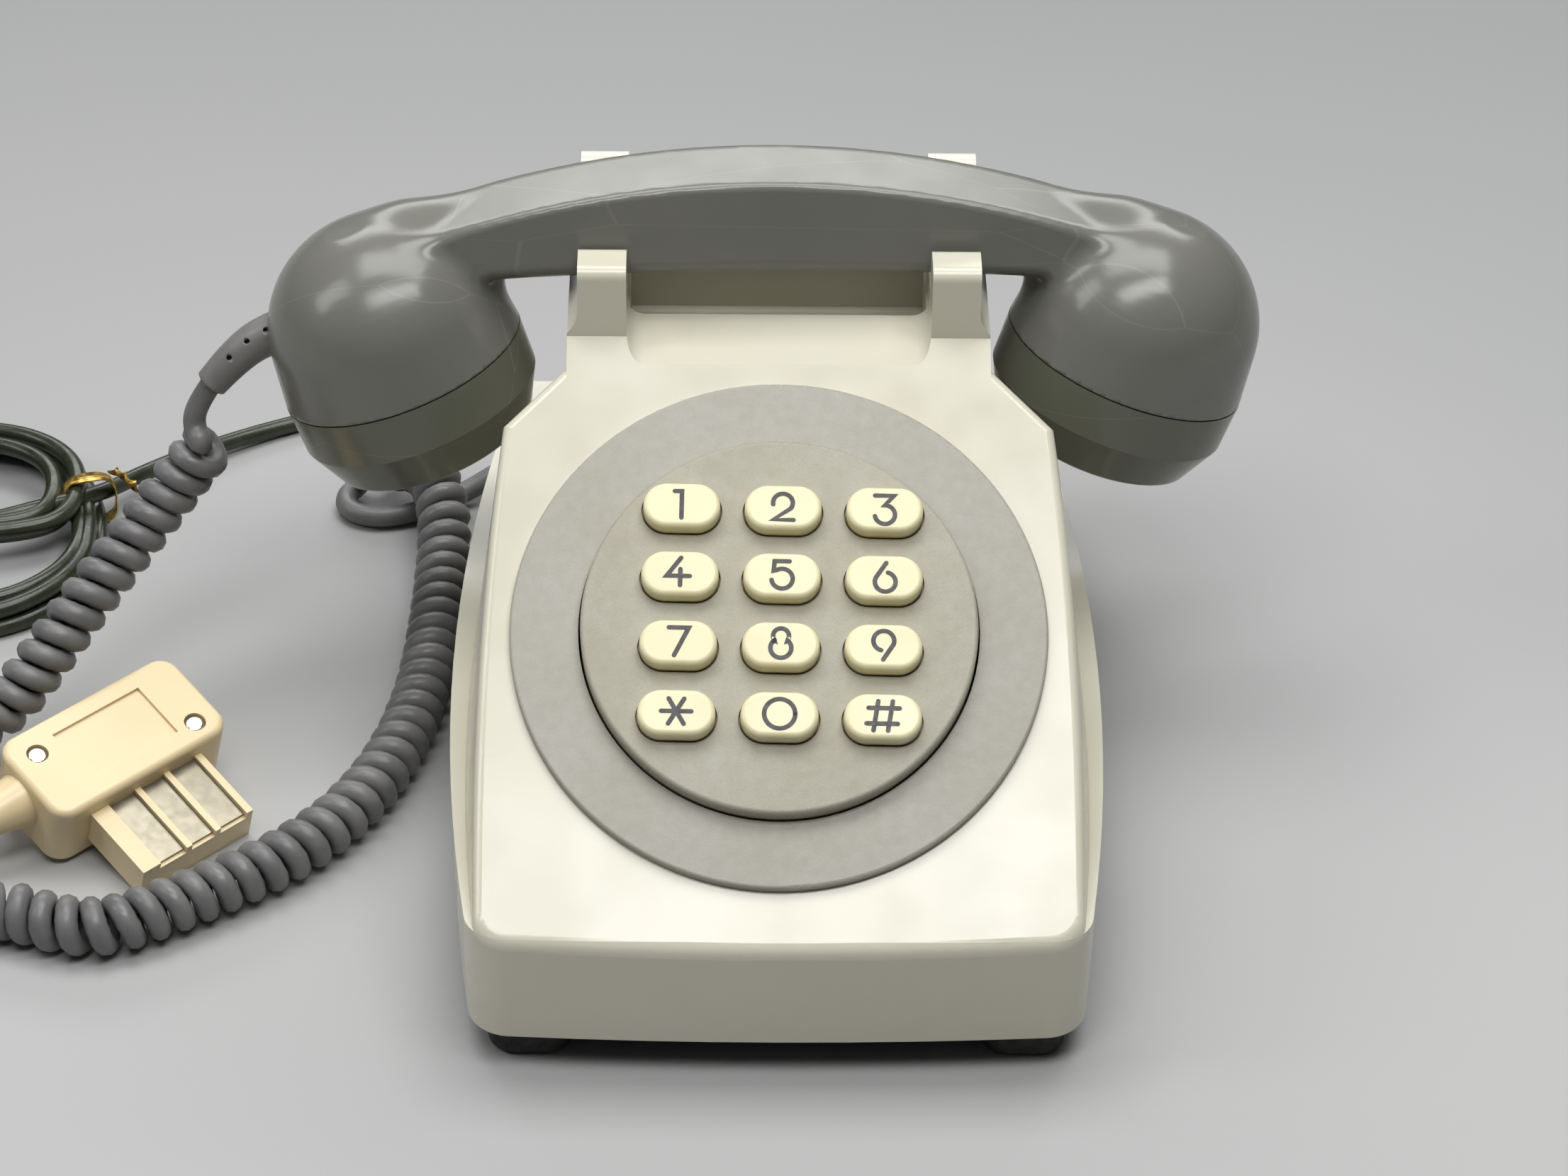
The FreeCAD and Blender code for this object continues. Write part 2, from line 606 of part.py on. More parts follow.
def capsule_ring(side, radius):
    """The ring that holds a capsule in the middle of its cup."""
    ring = cylinder(24.9, (0, 0, -9.0), (0, 0, -2.0)).cut(cylinder(radius + 0.1, (0, 0, -10), (0, 0, -1)))
    return in_handset(in_cup(ring, side))


def boot(route, start_r, end_r):
    """A tapered strain relief along a bent route, made of straight tapering lengths."""
    points = [Vec(*p) for p in route]
    parts = []
    for i in range(len(points) - 1):
        r0 = start_r + (end_r - start_r) * i / (len(points) - 1)
        r1 = start_r + (end_r - start_r) * (i + 1) / (len(points) - 1)
        way = points[i + 1] - points[i]
        parts.append(Part.makeCone(r0, r1, way.Length, points[i], way))
        if i:
            parts.append(Part.makeSphere(r0, points[i]))
    return fuse(parts)


# ---------------------------------------------------------------- hook switch, ringer, electrics


def hook_plungers():
    under_handle = PLUNGER_X ** 2 / (2 * UNDER_ARCH_R)
    back_edge = PLUNGER_Y + PLUNGER_SIZE[1] / 2 - HANDSET_AT[0]
    top = saddle_point(back_edge, -under_handle - 2 * FIT)[1]
    pins = plunger_pair(0, 82, top)
    bar = box(-PLUNGER_X - 2, PLUNGER_X + 2, PLUNGER_Y - 3.5, PLUNGER_Y + 3.5, 82, 86)
    return fuse([*pins, bar])


def hook_switch_frame():
    deck = box(-40, 40, PLUNGER_Y - 8, PLUNGER_Y + 8, 68, 71)
    legs = [box(x - 4, x + 4, PLUNGER_Y - 8, PLUNGER_Y - 5, 10, 68) for x in (-34, 34)]
    feet = [box(x - 4, x + 4, PLUNGER_Y - 18, PLUNGER_Y - 5, 10, 12) for x in (-34, 34)]
    return fuse([deck, *legs, *feet])


def hook_contacts():
    leaves = [box(-9 + 5 * i, -6 + 5 * i, PLUNGER_Y - 6, PLUNGER_Y + 6, 71, 80) for i in range(4)]
    return fuse([box(-12, 12, PLUNGER_Y - 5, PLUNGER_Y + 5, 71, 75), *leaves])


def gong(side):
    """A ringer gong: a thin shell, open below, on its post."""
    x, y = side * 29.0, 66.0
    outer = revolve(((0, 30), (24.0, 16), (24.0, 18), (18.5, 26.5, 8, 30)))
    inner = revolve(((0, 28.6), (22.6, 14), (22.6, 17.6), (17.4, 25.4, 7.6, 28.6)))
    post = cylinder(3.0, (0, 0, 10), (0, 0, 31.5))
    shape = fuse([outer.cut(inner), post])
    shape.translate(Vec(x, y, 0))
    return shape


def ringer_coil():
    yoke = box(-16, 16, 94, 106, 10, 26)
    bobbins = [cylinder(6.5, (x, 100, 26), (x, 100, 44)) for x in (-8, 8)]
    plate = box(-16, 16, 94, 106, 44, 46)
    pivot_post = box(-3, 3, 88, 94, 10, 20)
    return fuse([yoke, *bobbins, plate, pivot_post])


def clapper():
    """The hammer that swings between the gongs, hung on its pivot pin."""
    rod = cylinder(0.9, (0, 66, 23.5), (0, 91, 23.5))
    ball = Part.makeSphere(2.8, Vec(0, 66, 23.5))
    hub = cylinder(2.2, (0, 91, 20.4), (0, 91, 26.0))
    return fuse([rod, ball, hub])


def transmission_board():
    return box(-56, -14, 114, 136, 12, 13.6)


def board_parts():
    parts = [cylinder(4, (-48, y, 13.6), (-48, y, 24)) for y in (119, 131)]
    parts += [box(-40 + 7 * i, -36 + 7 * i, 118, 132, 13.6, 17) for i in range(3)]
    return Part.makeCompound(parts)


def board_posts():
    places = [(x, y) for x in (-53, -17) for y in (116, 134)]
    return Part.makeCompound([cylinder(2.5, (x, y, 10), (x, y, 12)) for x, y in places])


def induction_coil():
    core = box(20, 50, 100, 124, 10, 14)
    winding = box(25, 45, 102, 122, 14, 32)
    top = box(20, 50, 100, 124, 32, 36)
    return fuse([core, winding, top])


def capacitor():
    can = cylinder(7.0, (-40, 150, 17), (-14, 150, 17))
    return fuse([can, box(-38, -16, 146, 154, 10, 12)])


def terminal_block():
    block = box(-30, 30, 172, 184, 10, 20)
    slots = [box(-26 + 9 * i, -20 + 9 * i, 171, 178, 14, 21) for i in range(6)]
    return block.cut(fuse(slots))


def terminal_screws():
    return Part.makeCompound([
        cylinder(2.0, (-23 + 9 * i, 181, 20), (-23 + 9 * i, 181, 21.6)) for i in range(6)
    ])


# ---------------------------------------------------------------- cords and plug


def rounded_path(points):
    """Straight runs joined by tangent arcs, each as large as its two runs allow."""
    points = [Vec(*p) for p in points]
    edges, radii, start = [], [], points[0]
    for before, corner, after in zip(points, points[1:], points[2:]):
        way_in, way_out = (corner - before).normalize(), (after - corner).normalize()
        half_turn = way_in.getAngle(way_out) / 2
        setback = 0.45 * min((corner - before).Length, (after - corner).Length)
        radius = setback / math.tan(half_turn)
        inward = (way_out - way_in).normalize()
        middle = corner + inward * (radius / math.cos(half_turn) - radius)
        arc_start, arc_end = corner - way_in * setback, corner + way_out * setback
        edges.append(Part.LineSegment(start, arc_start).toShape())
        edges.append(Part.Arc(arc_start, middle, arc_end).toShape())
        radii.append(radius)
        start = arc_end
    edges.append(Part.LineSegment(start, points[-1]).toShape())
    return Part.Wire(edges), radii


def tube(name, points, radius):
    path, radii = rounded_path(points)
    way = (Vec(*points[1]) - Vec(*points[0])).normalize()
    section = Part.Wire(Part.makeCircle(radius, Vec(*points[0]), way))
    solid = path.makePipeShell([section], True, True)
    expected = math.pi * radius ** 2 * path.Length
    print(f"{name}: length {path.Length:.0f}, smallest radius {min(radii):.1f}, "
          f"volume {solid.Volume / expected:.3f} of section x length, lowest {solid.BoundBox.ZMin:.2f}")
    return solid


def hank():
    outer, inner = HANK_R
    x, y = HANK_CENTRE
    ring = cylinder(outer, (x, y, 0), (x, y, HANK_HEIGHT))
    ring = ring.cut(cylinder(inner, (x, y, -1), (x, y, HANK_HEIGHT + 1)))
    return ring.makeFillet(3.0, [e for e in ring.Edges if abs(e.CenterOfMass.z - HANK_HEIGHT) < 0.1])


def on_plug(shape):
    """Move a shape from the plug's axes (along the body, away from the contacts, up) to its place."""
    placed = shape.copy()
    placed.rotate(Vec(0, 0, 0), Vec(1, 0, 0), PLUG_TILT)
    placed.rotate(Vec(0, 0, 0), UP, PLUG_TURN)
    placed.translate(Vec(*PLUG_CENTRE, PLUG_LIFT))
    return placed


def plug_body():
    length, width, height = PLUG_SIZE
    block = box(-length / 2, length / 2, -width / 2, width / 2, 0, height)
    block = block.makeFillet(5.0, [e for e in block.Edges if is_upright(e)])
    block = block.makeFillet(1.8, [e for e in block.Edges if abs(e.CenterOfMass.z - height) < 0.01])
    collar = Part.makeCone(7.0, 4.4, 13, Vec(-length / 2 + 2, *COLLAR_AT), Vec(-1, 0, 0))
    panel = box(-12, 13, -7.5, 8, height - 0.8, height + 1)
    shape = fuse([block, collar]).cut(panel)
    for x, y in PLUG_SCREWS:
        shape = shape.cut(cylinder(2.6, (x, y, height - 1.8), (x, y, height + 1)))
    bore = (Vec(-length / 2 - 12, *COLLAR_AT), Vec(-length / 2 - 4, *COLLAR_AT))
    return on_plug(shape.cut(cylinder(LINE_R, *bore)))


def insert_walls():
    """The contact block's upright walls: a wide cheek, two ribs and a thin rail, as spans of x."""
    wide = INSERT_SIZE[0]
    left = -wide / 2
    pitch = (wide - 6.8) / 3
    ribs = [(left + 4.2 + pitch * i, left + 5.8 + pitch * i) for i in (1, 2)]
    return [(left, left + 5), *ribs, (wide / 2 - 1.8, wide / 2)]


def plug_insert():
    wide, deep, high = INSERT_SIZE
    front = -PLUG_SIZE[1] / 2
    bottom, top = INSERT_BOTTOM, INSERT_BOTTOM + high
    walls = [box(x0, x1, front - deep, front, bottom, top) for x0, x1 in insert_walls()]
    tongue = box(-wide / 2, wide / 2, front - deep, front, bottom, top - 2.0)
    return on_plug(fuse([tongue, *walls]))


def plug_contacts():
    deep, high = INSERT_SIZE[1:]
    front = -PLUG_SIZE[1] / 2
    floor = INSERT_BOTTOM + high - 2.0
    walls = insert_walls()
    strips = [
        box(before[1] + 0.2, after[0] - 0.2, front - deep + 1, front, floor, floor + 0.8)
        for before, after in zip(walls, walls[1:])
    ]
    return on_plug(Part.makeCompound(strips))


def plug_screws():
    height = PLUG_SIZE[2]
    heads = []
    for x, y in PLUG_SCREWS:
        head = cylinder(2.5, (x, y, height - 1.8), (x, y, height - 0.4))
        heads.append(head.makeFillet(0.8, [e for e in head.Edges if e.CenterOfMass.z > height - 0.5]))
    return on_plug(Part.makeCompound(heads))


# ---------------------------------------------------------------- output

FRAME_SHIFT = Vec(-HANDSET_SHIFT, (FRONT_BOW - BACK_Y) / 2, 0)


def save(name, shape):
    placed = shape.copy()
    placed.translate(FRAME_SHIFT)
    bounds = placed.BoundBox
    print(f"{name:20s} valid {placed.isValid()} solids {len(placed.Solids)} volume {placed.Volume:9.0f} "
          f"x {bounds.XMin:.1f}..{bounds.XMax:.1f} y {bounds.YMin:.1f}..{bounds.YMax:.1f} "
          f"z {bounds.ZMin:.1f}..{bounds.ZMax:.1f}")
    placed.exportStep(f"parts/{name}.step")


def build():
    os.makedirs("parts", exist_ok=True)
    save("casing", casing())
    save("base_plate", base_plate())
    for name, side, y in (
        ("foot_front_left", -1, 11.0), ("foot_front_right", 1, 11.0),
        ("foot_rear_left", -1, 184.0), ("foot_rear_right", 1, 184.0),
    ):
        save(name, foot(side, y, 16.0))
    save("case_screws", Part.makeCompound([case_screw(x, y) for x in (-52, 52) for y in SCREW_Y]))
    save("dial_ring", dial_ring())
    save("keypad_faceplate", keypad_faceplate())
    save("keypad_frame", keypad_frame())
    save("keypad_board", keypad_board())
    save("contact_domes", contact_domes())
    for row, names in enumerate(KEY_ROWS):
        for column, name in enumerate(names):
            save(f"key_{name}", key(column, row))
    save("handset_shell", handset_shell())
    save("mouthpiece_cap", screw_cap(-1, ((6.0, 6),)))
    save("earpiece_cap", screw_cap(1, ((5.0, 6), (10.0, 12))))
    save("microphone_capsule", capsule(-1, 20.0, 12.0))
    save("receiver_capsule", capsule(1, 22.0, 15.0))
    save("microphone_ring", capsule_ring(-1, 20.0))
    save("receiver_ring", capsule_ring(1, 22.0))
    save("handset_boot", boot(BOOT_ROUTE, *BOOT_R))
    save("hook_plungers", hook_plungers())
    save("hook_switch_frame", hook_switch_frame())
    save("hook_contacts", hook_contacts())
    save("gong_left", gong(-1))
    save("gong_right", gong(1))
    save("ringer_coil", ringer_coil())
    save("clapper", clapper())
    save("transmission_board", transmission_board())
    save("board_parts", board_parts())
    save("board_posts", board_posts())
    save("induction_coil", induction_coil())
    save("capacitor", capacitor())
    save("terminal_block", terminal_block())
    save("terminal_screws", terminal_screws())
    save("handset_grommet", boot(HANDSET_GROMMET, *GROMMET_R))
    save("line_grommet", boot(LINE_GROMMET, *GROMMET_R))
    curly = tube("curly_cord", CURLY_ROUTE, CURLY_R)
    lead = tube("handset_lead", HANDSET_LEAD, WIRE_R)
    save("handset_lead", lead.cut(curly).cut(boot(BOOT_ROUTE, *BOOT_R)))
    save("curly_cord", curly)
    lead = tube("base_lead", BASE_LEAD, WIRE_R)
    save("base_lead", lead.cut(curly).cut(boot(HANDSET_GROMMET, *GROMMET_R)))
    save("line_hank", hank())
    lead = tube("line_cord", LINE_ROUTE, LINE_R)
    save("line_cord", lead.cut(hank()).cut(boot(LINE_GROMMET, *GROMMET_R)))
    lead = tube("plug_cable", PLUG_CABLE, LINE_R)
    save("plug_cable", lead.cut(hank()).cut(plug_body()))
    save("plug_body", plug_body())
    save("plug_insert", plug_insert())
    save("plug_contacts", plug_contacts())
    save("plug_screws", plug_screws())


build()
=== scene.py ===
"""Corded push-button desk telephone: looks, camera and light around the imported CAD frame.

Measures are in millimetres, and routes in the case coordinates of the CAD source, unless a
comment says otherwise.  place() takes them to the frame, which is in metres.
"""
import math

import bmesh
import bpy
import numpy as np
from mathutils import Matrix, Vector


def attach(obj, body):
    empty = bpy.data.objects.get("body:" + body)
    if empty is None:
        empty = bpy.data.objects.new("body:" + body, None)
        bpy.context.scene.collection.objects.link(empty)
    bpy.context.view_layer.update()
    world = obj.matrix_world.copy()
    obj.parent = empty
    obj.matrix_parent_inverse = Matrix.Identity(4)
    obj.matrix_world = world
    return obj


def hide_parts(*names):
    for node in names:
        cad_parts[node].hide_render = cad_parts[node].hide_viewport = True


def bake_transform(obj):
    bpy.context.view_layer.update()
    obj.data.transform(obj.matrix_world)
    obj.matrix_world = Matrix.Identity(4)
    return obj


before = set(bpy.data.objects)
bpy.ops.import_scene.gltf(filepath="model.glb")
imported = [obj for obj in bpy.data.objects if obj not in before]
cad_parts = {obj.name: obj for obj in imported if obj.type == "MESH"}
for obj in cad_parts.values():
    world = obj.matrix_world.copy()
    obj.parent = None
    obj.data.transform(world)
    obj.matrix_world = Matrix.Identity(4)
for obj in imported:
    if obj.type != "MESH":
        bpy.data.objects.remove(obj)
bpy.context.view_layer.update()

MM = 0.001
ORIGIN = Vector((3.0, -98.9, 0.0))

# ---------------------------------------------------------------- measures shared with the CAD source

FACE_TILT = math.radians(30)
DIAL_CENTRE = (0.0, 61.8, 74.08)
KEY_TOP = 10.4
KEY_PITCH = (22.65, 16.32)
KEY_OFFSET = (0.35, 2.0)
KEYPAD_TURN = math.radians(-1.0)
KEY_ROWS = (("1", "2", "3"), ("4", "5", "6"), ("7", "8", "9"), ("star", "0", "hash"))

HANDSET_AT = (-3.0, 137.2, 118.6)
HANDSET_LEAN = math.radians(10.0)
HANDSET_YAW = math.radians(1.2)
HANDLE_DEPTH = 21.0
HANDLE_HEIGHT = 22.6
HANDLE_RISE = 2.8
TOP_ARCH_R = 222.0
UNDER_ARCH_R = 1000.0
CUP_REACH = 84.9
CUP_DROP = 26.0
CUP_TILT = math.radians(19.5)
CUP_R = 29.3
CUP_SIDE = 13.0
CUP_TOP = 36.0
SEAM_GAP = 0.4

WIRE_R = 2.7
CURLY_R = 7.0
LINE_R = 2.2
BOOT_R = (5.6, 3.9)

BOOT_ROUTE = (
    (-106.0, 144.0, 101.5), (-118.0, 143.0, 98.2), (-126.4, 142.0, 92.6), (-132.8, 140.5, 85.0),
)
HANDSET_LEAD = (
    (-132.8, 140.5, 85.0), (-136.6, 140.2, 79.2), (-138.2, 140.0, 72.8), (-136.6, 139.8, 66.6),
)
CURLY_ROUTE = (
    (-134.4, 139.8, 68.0), (-139.5, 138.8, 61.5), (-146.5, 134.5, 53.5), (-154.0, 128.0, 46.3),
    (-161.0, 121.0, 39.8), (-167.8, 114.0, 33.2), (-174.5, 107.5, 26.0), (-181.8, 101.5, 18.5),
    (-191.0, 97.5, 13.8), (-203.0, 95.0, 12.8), (-215.5, 91.0, 11.0), (-227.0, 83.5, 8.5),
    (-236.0, 73.0, 7.1), (-239.5, 60.0, 7.1), (-236.5, 47.5, 7.1), (-227.0, 38.0, 7.1),
    (-214.0, 34.0, 7.1), (-200.5, 37.0, 7.1), (-188.0, 42.0, 7.1), (-176.0, 43.0, 7.1),
    (-164.5, 38.0, 7.1), (-153.0, 36.5, 7.1), (-140.5, 43.0, 7.1), (-127.0, 51.5, 7.1),
    (-114.0, 60.5, 7.1), (-102.5, 73.0, 7.1), (-94.0, 88.0, 7.1), (-88.3, 104.5, 7.1),
    (-85.0, 122.0, 7.1), (-83.6, 140.0, 7.1), (-83.0, 158.0, 7.1), (-82.8, 174.0, 8.0),
    (-83.4, 186.5, 11.2), (-86.0, 197.0, 13.4), (-92.0, 204.5, 12.8), (-101.0, 208.0, 9.6),
)
BASE_LEAD = (
    (-99.5, 208.0, 5.0), (-106.5, 207.5, 3.6), (-110.5, 202.5, 2.9), (-108.5, 196.8, 2.9),
    (-102.0, 194.2, 2.9), (-94.5, 195.6, 2.9), (-87.0, 199.4, 2.9), (-80.0, 203.8, 3.4),
    (-73.5, 207.2, 5.6), (-66.2, 210.2, 9.2),
)
LINE_ROUTE = (
    (-30.0, 208.0, 14.0), (-30.3, 220.0, 12.5), (-33.0, 232.0, 8.0), (-42.0, 242.0, 3.4),
    (-57.0, 248.0, 2.3), (-76.0, 249.0, 2.3), (-100.0, 245.0, 2.3), (-124.0, 236.5, 2.3),
    (-145.0, 224.5, 3.4), (-161.0, 210.0, 6.0), (-172.0, 198.0, 7.4),
)
PLUG_CABLE = (
    (-203.0, 150.0, 5.0), (-202.5, 135.0, 3.4), (-203.5, 120.0, 2.3), (-206.5, 105.0, 2.3),
    (-211.5, 90.0, 2.3), (-213.0, 76.0, 2.8), (-209.0, 64.5, 5.6), (-200.0, 58.5, 9.6),
    (-189.0, 59.9, 13.9), (-181.2, 67.0, 14.5),
)

# ---------------------------------------------------------------- measures of this file's own

COIL_PITCH = 5.95
STEPS_PER_TURN = 20
WIRE_SIDES = 10
AXIS_STEP = 0.2
LEAD_STEP = 1.0
LEAD_PULL = 4.0

BOOT_SIDES = 28
BOOT_STEP = 0.6
BOOT_LIT_SIDE = (0.08, -0.62, 0.78)
BOOT_HOLES = (0.26, 0.44, 0.62, 0.8)  # shares of the boot's length
BOOT_HOLE_R = 0.65
BOOT_HOLE_DEPTH = 3.0

HANK_CENTRE = (-207.0, 187.5)
HANK_ENTRY = (
    (-184.0, 188.5, 10.8), (-199.0, 181.5, 10.8), (-214.0, 178.0, 10.4), (-228.0, 177.5, 8.0),
    (-240.0, 175.5, 4.6), (-247.5, 166.5, 2.6), (-244.0, 155.5, 2.3),
)
# radius, height and shift of each ring
RINGS = ((42.5, 2.3, 0.0), (38.0, 2.3, 1.2), (41.0, 6.7, -1.0), (36.5, 6.7, 0.8))
RING_END_R = 33.0
RING_POINTS = 12
RING_START = 242  # degrees
RING_SHIFT_Y = 0.7  # share of a ring's shift that goes sideways
RING_PINCH = 6.0  # how far the tie draws a ring in
LOOP_OUTLINE = (
    (-27, -7), (-14, -9), (2, -7.5), (15, -6), (25, -2), (28, 9),
    (25, 22), (14, 31), (-2, 34), (-17, 31), (-28, 20), (-31, 6),
)
LOOPS = ((1.0, 7.0), (0.86, 11.0), (1.08, 11.0))  # size as a share, height
LOOP_SHIFT = 1.5
HANK_EXIT = ((-240.0, 180.0, 8.0), (-235.0, 170.0, 7.5), (-224.0, 164.5, 6.8), (-212.0, 160.0, 6.0))

TIE_ANGLE = math.radians(14)
TIE_CENTRE = (-174.6, 195.5, 7.5)
TIE_SIZE = (6.6, 7.0)
TIE_SQUARENESS = 0.62  # power of the band's sine and cosine: 1 is a plain oval
TIE_POINTS = 40
TIE_HALF_WIDTH = 1.6
TIE_WAVE = 0.25
TIE_WAVES = 5
TIE_THICKNESS = 0.4
TAIL_STEPS = 30
TAIL_LENGTH = 9
TAIL_HALF_WIDTH = 1.3
TAIL_TWIST = 2.6 * math.pi
TAIL_OUT = (3, 5)
TAIL_LIFT = (1.0, 1.5)

CUP_BELOW = 5.0
EDGE_SOFTENS = (62, 88)  # where, along the handle, its upper edges grow rounder
FRONT_EDGE_R = (1.5, 2.0)  # radius in the middle, and what is added near the cups
BACK_EDGE_R = (4.0, 3.5)
UNDER_EDGE_R = 4.0
HANDLE_OVERLAP = 3
HANDLE_END_R = 5.0
CUP_BLEND = (4, 8)  # width of the flow into the cups at the front, and what is added behind
CUP_BLEND_DEPTH = (4, 16)
GRID_LOW = (-124.0, -22.0, -50.0)
GRID_HIGH = (124.0, 43.0, 32.0)
GRID_STEP = 1.1
SETTLE_ROUNDS = 4
NUDGE = 0.02
LEAST_SLOPE = 0.2
CUP_SIDE_FROM = 30
RIM_STEPS = ((-0.125, 0.994), (-0.05, 0.95))  # drop along the cup's axis, shrink toward it

STROKE_HALF = 0.52
SIGN_SINK = 0.25
SIGN_PROUD = 0.04
SIGN_LAYER = 0.01

# ---------------------------------------------------------------- camera, lights and shades

VIEW_DOWN = math.radians(38.9)
VIEW_YAW = math.radians(1.2)
VIEW_ROLL = math.radians(1.05)
EYE = (-14.4, -669.4, 677.4)
LENS = 97.65

# name, place, the point it faces, width and depth, all in metres, and power in watts
LIGHTS = (
    ("overhead", (0.0, 0.25, 1.1), (0.0, 0.15, 0.0), (1.0, 0.5), 9),
    ("front_box", (0.05, -0.38, 1.15), (0.0, -0.25, 0.0), (1.0, 0.3), 8),
    ("behind", (0.0, 1.5, 1.0), (0.0, 0.1, 0.1), (2.0, 0.5), 14),
    ("left_box", (-1.0, -0.1, 0.9), (-0.1, 0.0, 0.08), (0.35, 0.7), 3),
)
WORLD_COLOUR = (0.9, 0.95, 1.0, 1)
WORLD_STRENGTH = 0.05
FLOOR_HALF = 4.0  # metres
FLOOR_MIDDLE = (0, 1.0, 0)  # metres
FLOOR_PAINTED_SHADE_FADE = (-1.15, -0.45)  # painted shade where the light falls off: from its light front to its darker back, metres from its middle

# sRGB shades out of 255
FLOOR_FRONT = ((180, 180, 179), (174, 174, 174))
# painted shade: the darker colour at the back of the tabletop stands for the light falling off
FLOOR_BACK_PAINTED_SHADE = (134, 135, 135)
CURLY_GREY = ((104, 104, 104), (126, 125, 124))
BOOT_GREY = ((112, 111, 109), (130, 128, 126))
CORD_OLIVE = ((36, 41, 28), (58, 62, 46))
HANDSET_GREY = ((110, 110, 104), (118, 117, 110))
HANDSET_SCRATCH = (160, 159, 152)
HANDSET_DUST = (70, 68, 58)
CAP_PAINTED_SHADE = (-14, -13, -20)  # painted shade: the caps are made darker than the handle, though they are the same grey
INK = ((38, 33, 35), (54, 48, 50))
TIE_GOLD = ((206, 176, 96), (150, 118, 50))

# ranges of roughness
GLOSSY = (0.16, 0.26)
GRAINED = (0.5, 0.62)
SHEATH = (0.32, 0.48)
SHEATH_SHINY = (0.22, 0.36)
BRUSHED = (0.2, 0.4)


def place(point):
    """Case millimetres to frame metres."""
    return (Vector(point) + ORIGIN) * MM


# ---------------------------------------------------------------- camera and objects


def camera():
    data = bpy.data.cameras.new("camera")
    data.lens = LENS
    data.sensor_width = 36
    data.clip_start = 0.05
    data.clip_end = 50
    eye = bpy.data.objects.new("camera", data)
    turn = (Matrix.Rotation(-VIEW_YAW, 4, "Z") @ Matrix.Rotation(math.pi / 2 - VIEW_DOWN, 4, "X")
            @ Matrix.Rotation(VIEW_ROLL, 4, "Z"))
    eye.matrix_world = Matrix.Translation(place(EYE)) @ turn
    bpy.context.scene.collection.objects.link(eye)
    bpy.context.scene.camera = eye


def area_light(name, at, toward, size, power):
    data = bpy.data.lights.new(name, "AREA")
    data.shape = "RECTANGLE"
    data.size, data.size_y = size
    data.energy = power
    lamp = bpy.data.objects.new(name, data)
    lamp.location = at
    lamp.rotation_euler = (Vector(toward) - Vector(at)).to_track_quat("-Z", "Y").to_euler()
    bpy.context.scene.collection.objects.link(lamp)


def new_object(name, mesh, material=None):
    piece = bpy.data.objects.new(name, mesh)
    bpy.context.scene.collection.objects.link(piece)
    if material:
        piece.data.materials.append(material)
    return piece


def mesh_from(form, name):
    """The mesh of a bmesh, which is then freed."""
    mesh = bpy.data.meshes.new(name)
    form.to_mesh(mesh)
    form.free()
    return mesh


# ---------------------------------------------------------------- materials


class Shader:
    """A node material built step by step: each method adds one effect and returns its output."""

    def __init__(self, name):
        self.material = bpy.data.materials.new(name)
        self.material.use_nodes = True
        self.nodes = self.material.node_tree.nodes
        self.links = self.material.node_tree.links
        self.surface = self.nodes["Principled BSDF"]
        self.place = self.nodes.new("ShaderNodeTexCoord").outputs["Object"]

    def noise(self, scale, detail=4.0, rough=0.5):
        node = self.nodes.new("ShaderNodeTexNoise")
        node.inputs["Scale"].default_value = scale
        node.inputs["Detail"].default_value = detail
        node.inputs["Roughness"].default_value = rough
        self.links.new(self.place, node.inputs["Vector"])
        return node.outputs["Fac"]

    def ramp(self, source, low, high):
        node = self.nodes.new("ShaderNodeMapRange")
        node.inputs["From Min"].default_value, node.inputs["From Max"].default_value = low
        node.inputs["To Min"].default_value, node.inputs["To Max"].default_value = high
        self.links.new(source, node.inputs["Value"])
        return node.outputs["Result"]

    def mix(self, factor, first, second):
        """Blend two colours, each an RGB triple or another node's output."""
        node = self.nodes.new("ShaderNodeMix")
        node.data_type = "RGBA"
        self.links.new(factor, node.inputs["Factor"])
        for socket, colour in ((node.inputs[6], first), (node.inputs[7], second)):
            if isinstance(colour, tuple):
                socket.default_value = (*colour, 1.0)
            else:
                self.links.new(colour, socket)
        return node.outputs[2]

    def scratches(self):
        """A field of long thin lines that cross at odd angles; near 0 along each."""
        node = self.nodes.new("ShaderNodeTexVoronoi")
        node.feature = "DISTANCE_TO_EDGE"
        node.inputs["Scale"].default_value = 22
        stretch = self.nodes.new("ShaderNodeMapping")
        stretch.inputs["Scale"].default_value = (0.35, 1.0, 1.6)
        stretch.inputs["Rotation"].default_value = (0.4, 0.9, 0.5)
        self.links.new(self.place, stretch.inputs["Vector"])
        self.links.new(stretch.outputs["Vector"], node.inputs["Vector"])
        return node.outputs["Distance"]

    def crevices(self, reach):
        """1 on open surfaces, falling to 0 in corners narrower than reach."""
        node = self.nodes.new("ShaderNodeAmbientOcclusion")
        node.inputs["Distance"].default_value = reach
        node.samples = 8
        return node.outputs["AO"]

    def colour(self, value):
        if isinstance(value, tuple):
            self.surface.inputs["Base Color"].default_value = (*value, 1.0)
        else:
            self.links.new(value, self.surface.inputs["Base Color"])

    def roughness(self, source, low, high):
        self.links.new(self.ramp(source, (0.35, 0.65), (low, high)), self.surface.inputs["Roughness"])

    def bump(self, source, strength, depth):
        node = self.nodes.new("ShaderNodeBump")
        node.inputs["Strength"].default_value = strength
        node.inputs["Distance"].default_value = depth
        self.links.new(source, node.inputs["Height"])
        self.links.new(node.outputs["Normal"], self.surface.inputs["Normal"])

    def set(self, **values):
        for name, value in values.items():
            self.surface.inputs[name.replace("_", " ")].default_value = value


def linear(red, green, blue):
    """sRGB values out of 255 as the linear colour that a shader takes."""
    return tuple(((c / 255 + 0.055) / 1.055) ** 2.4 for c in (red, green, blue))


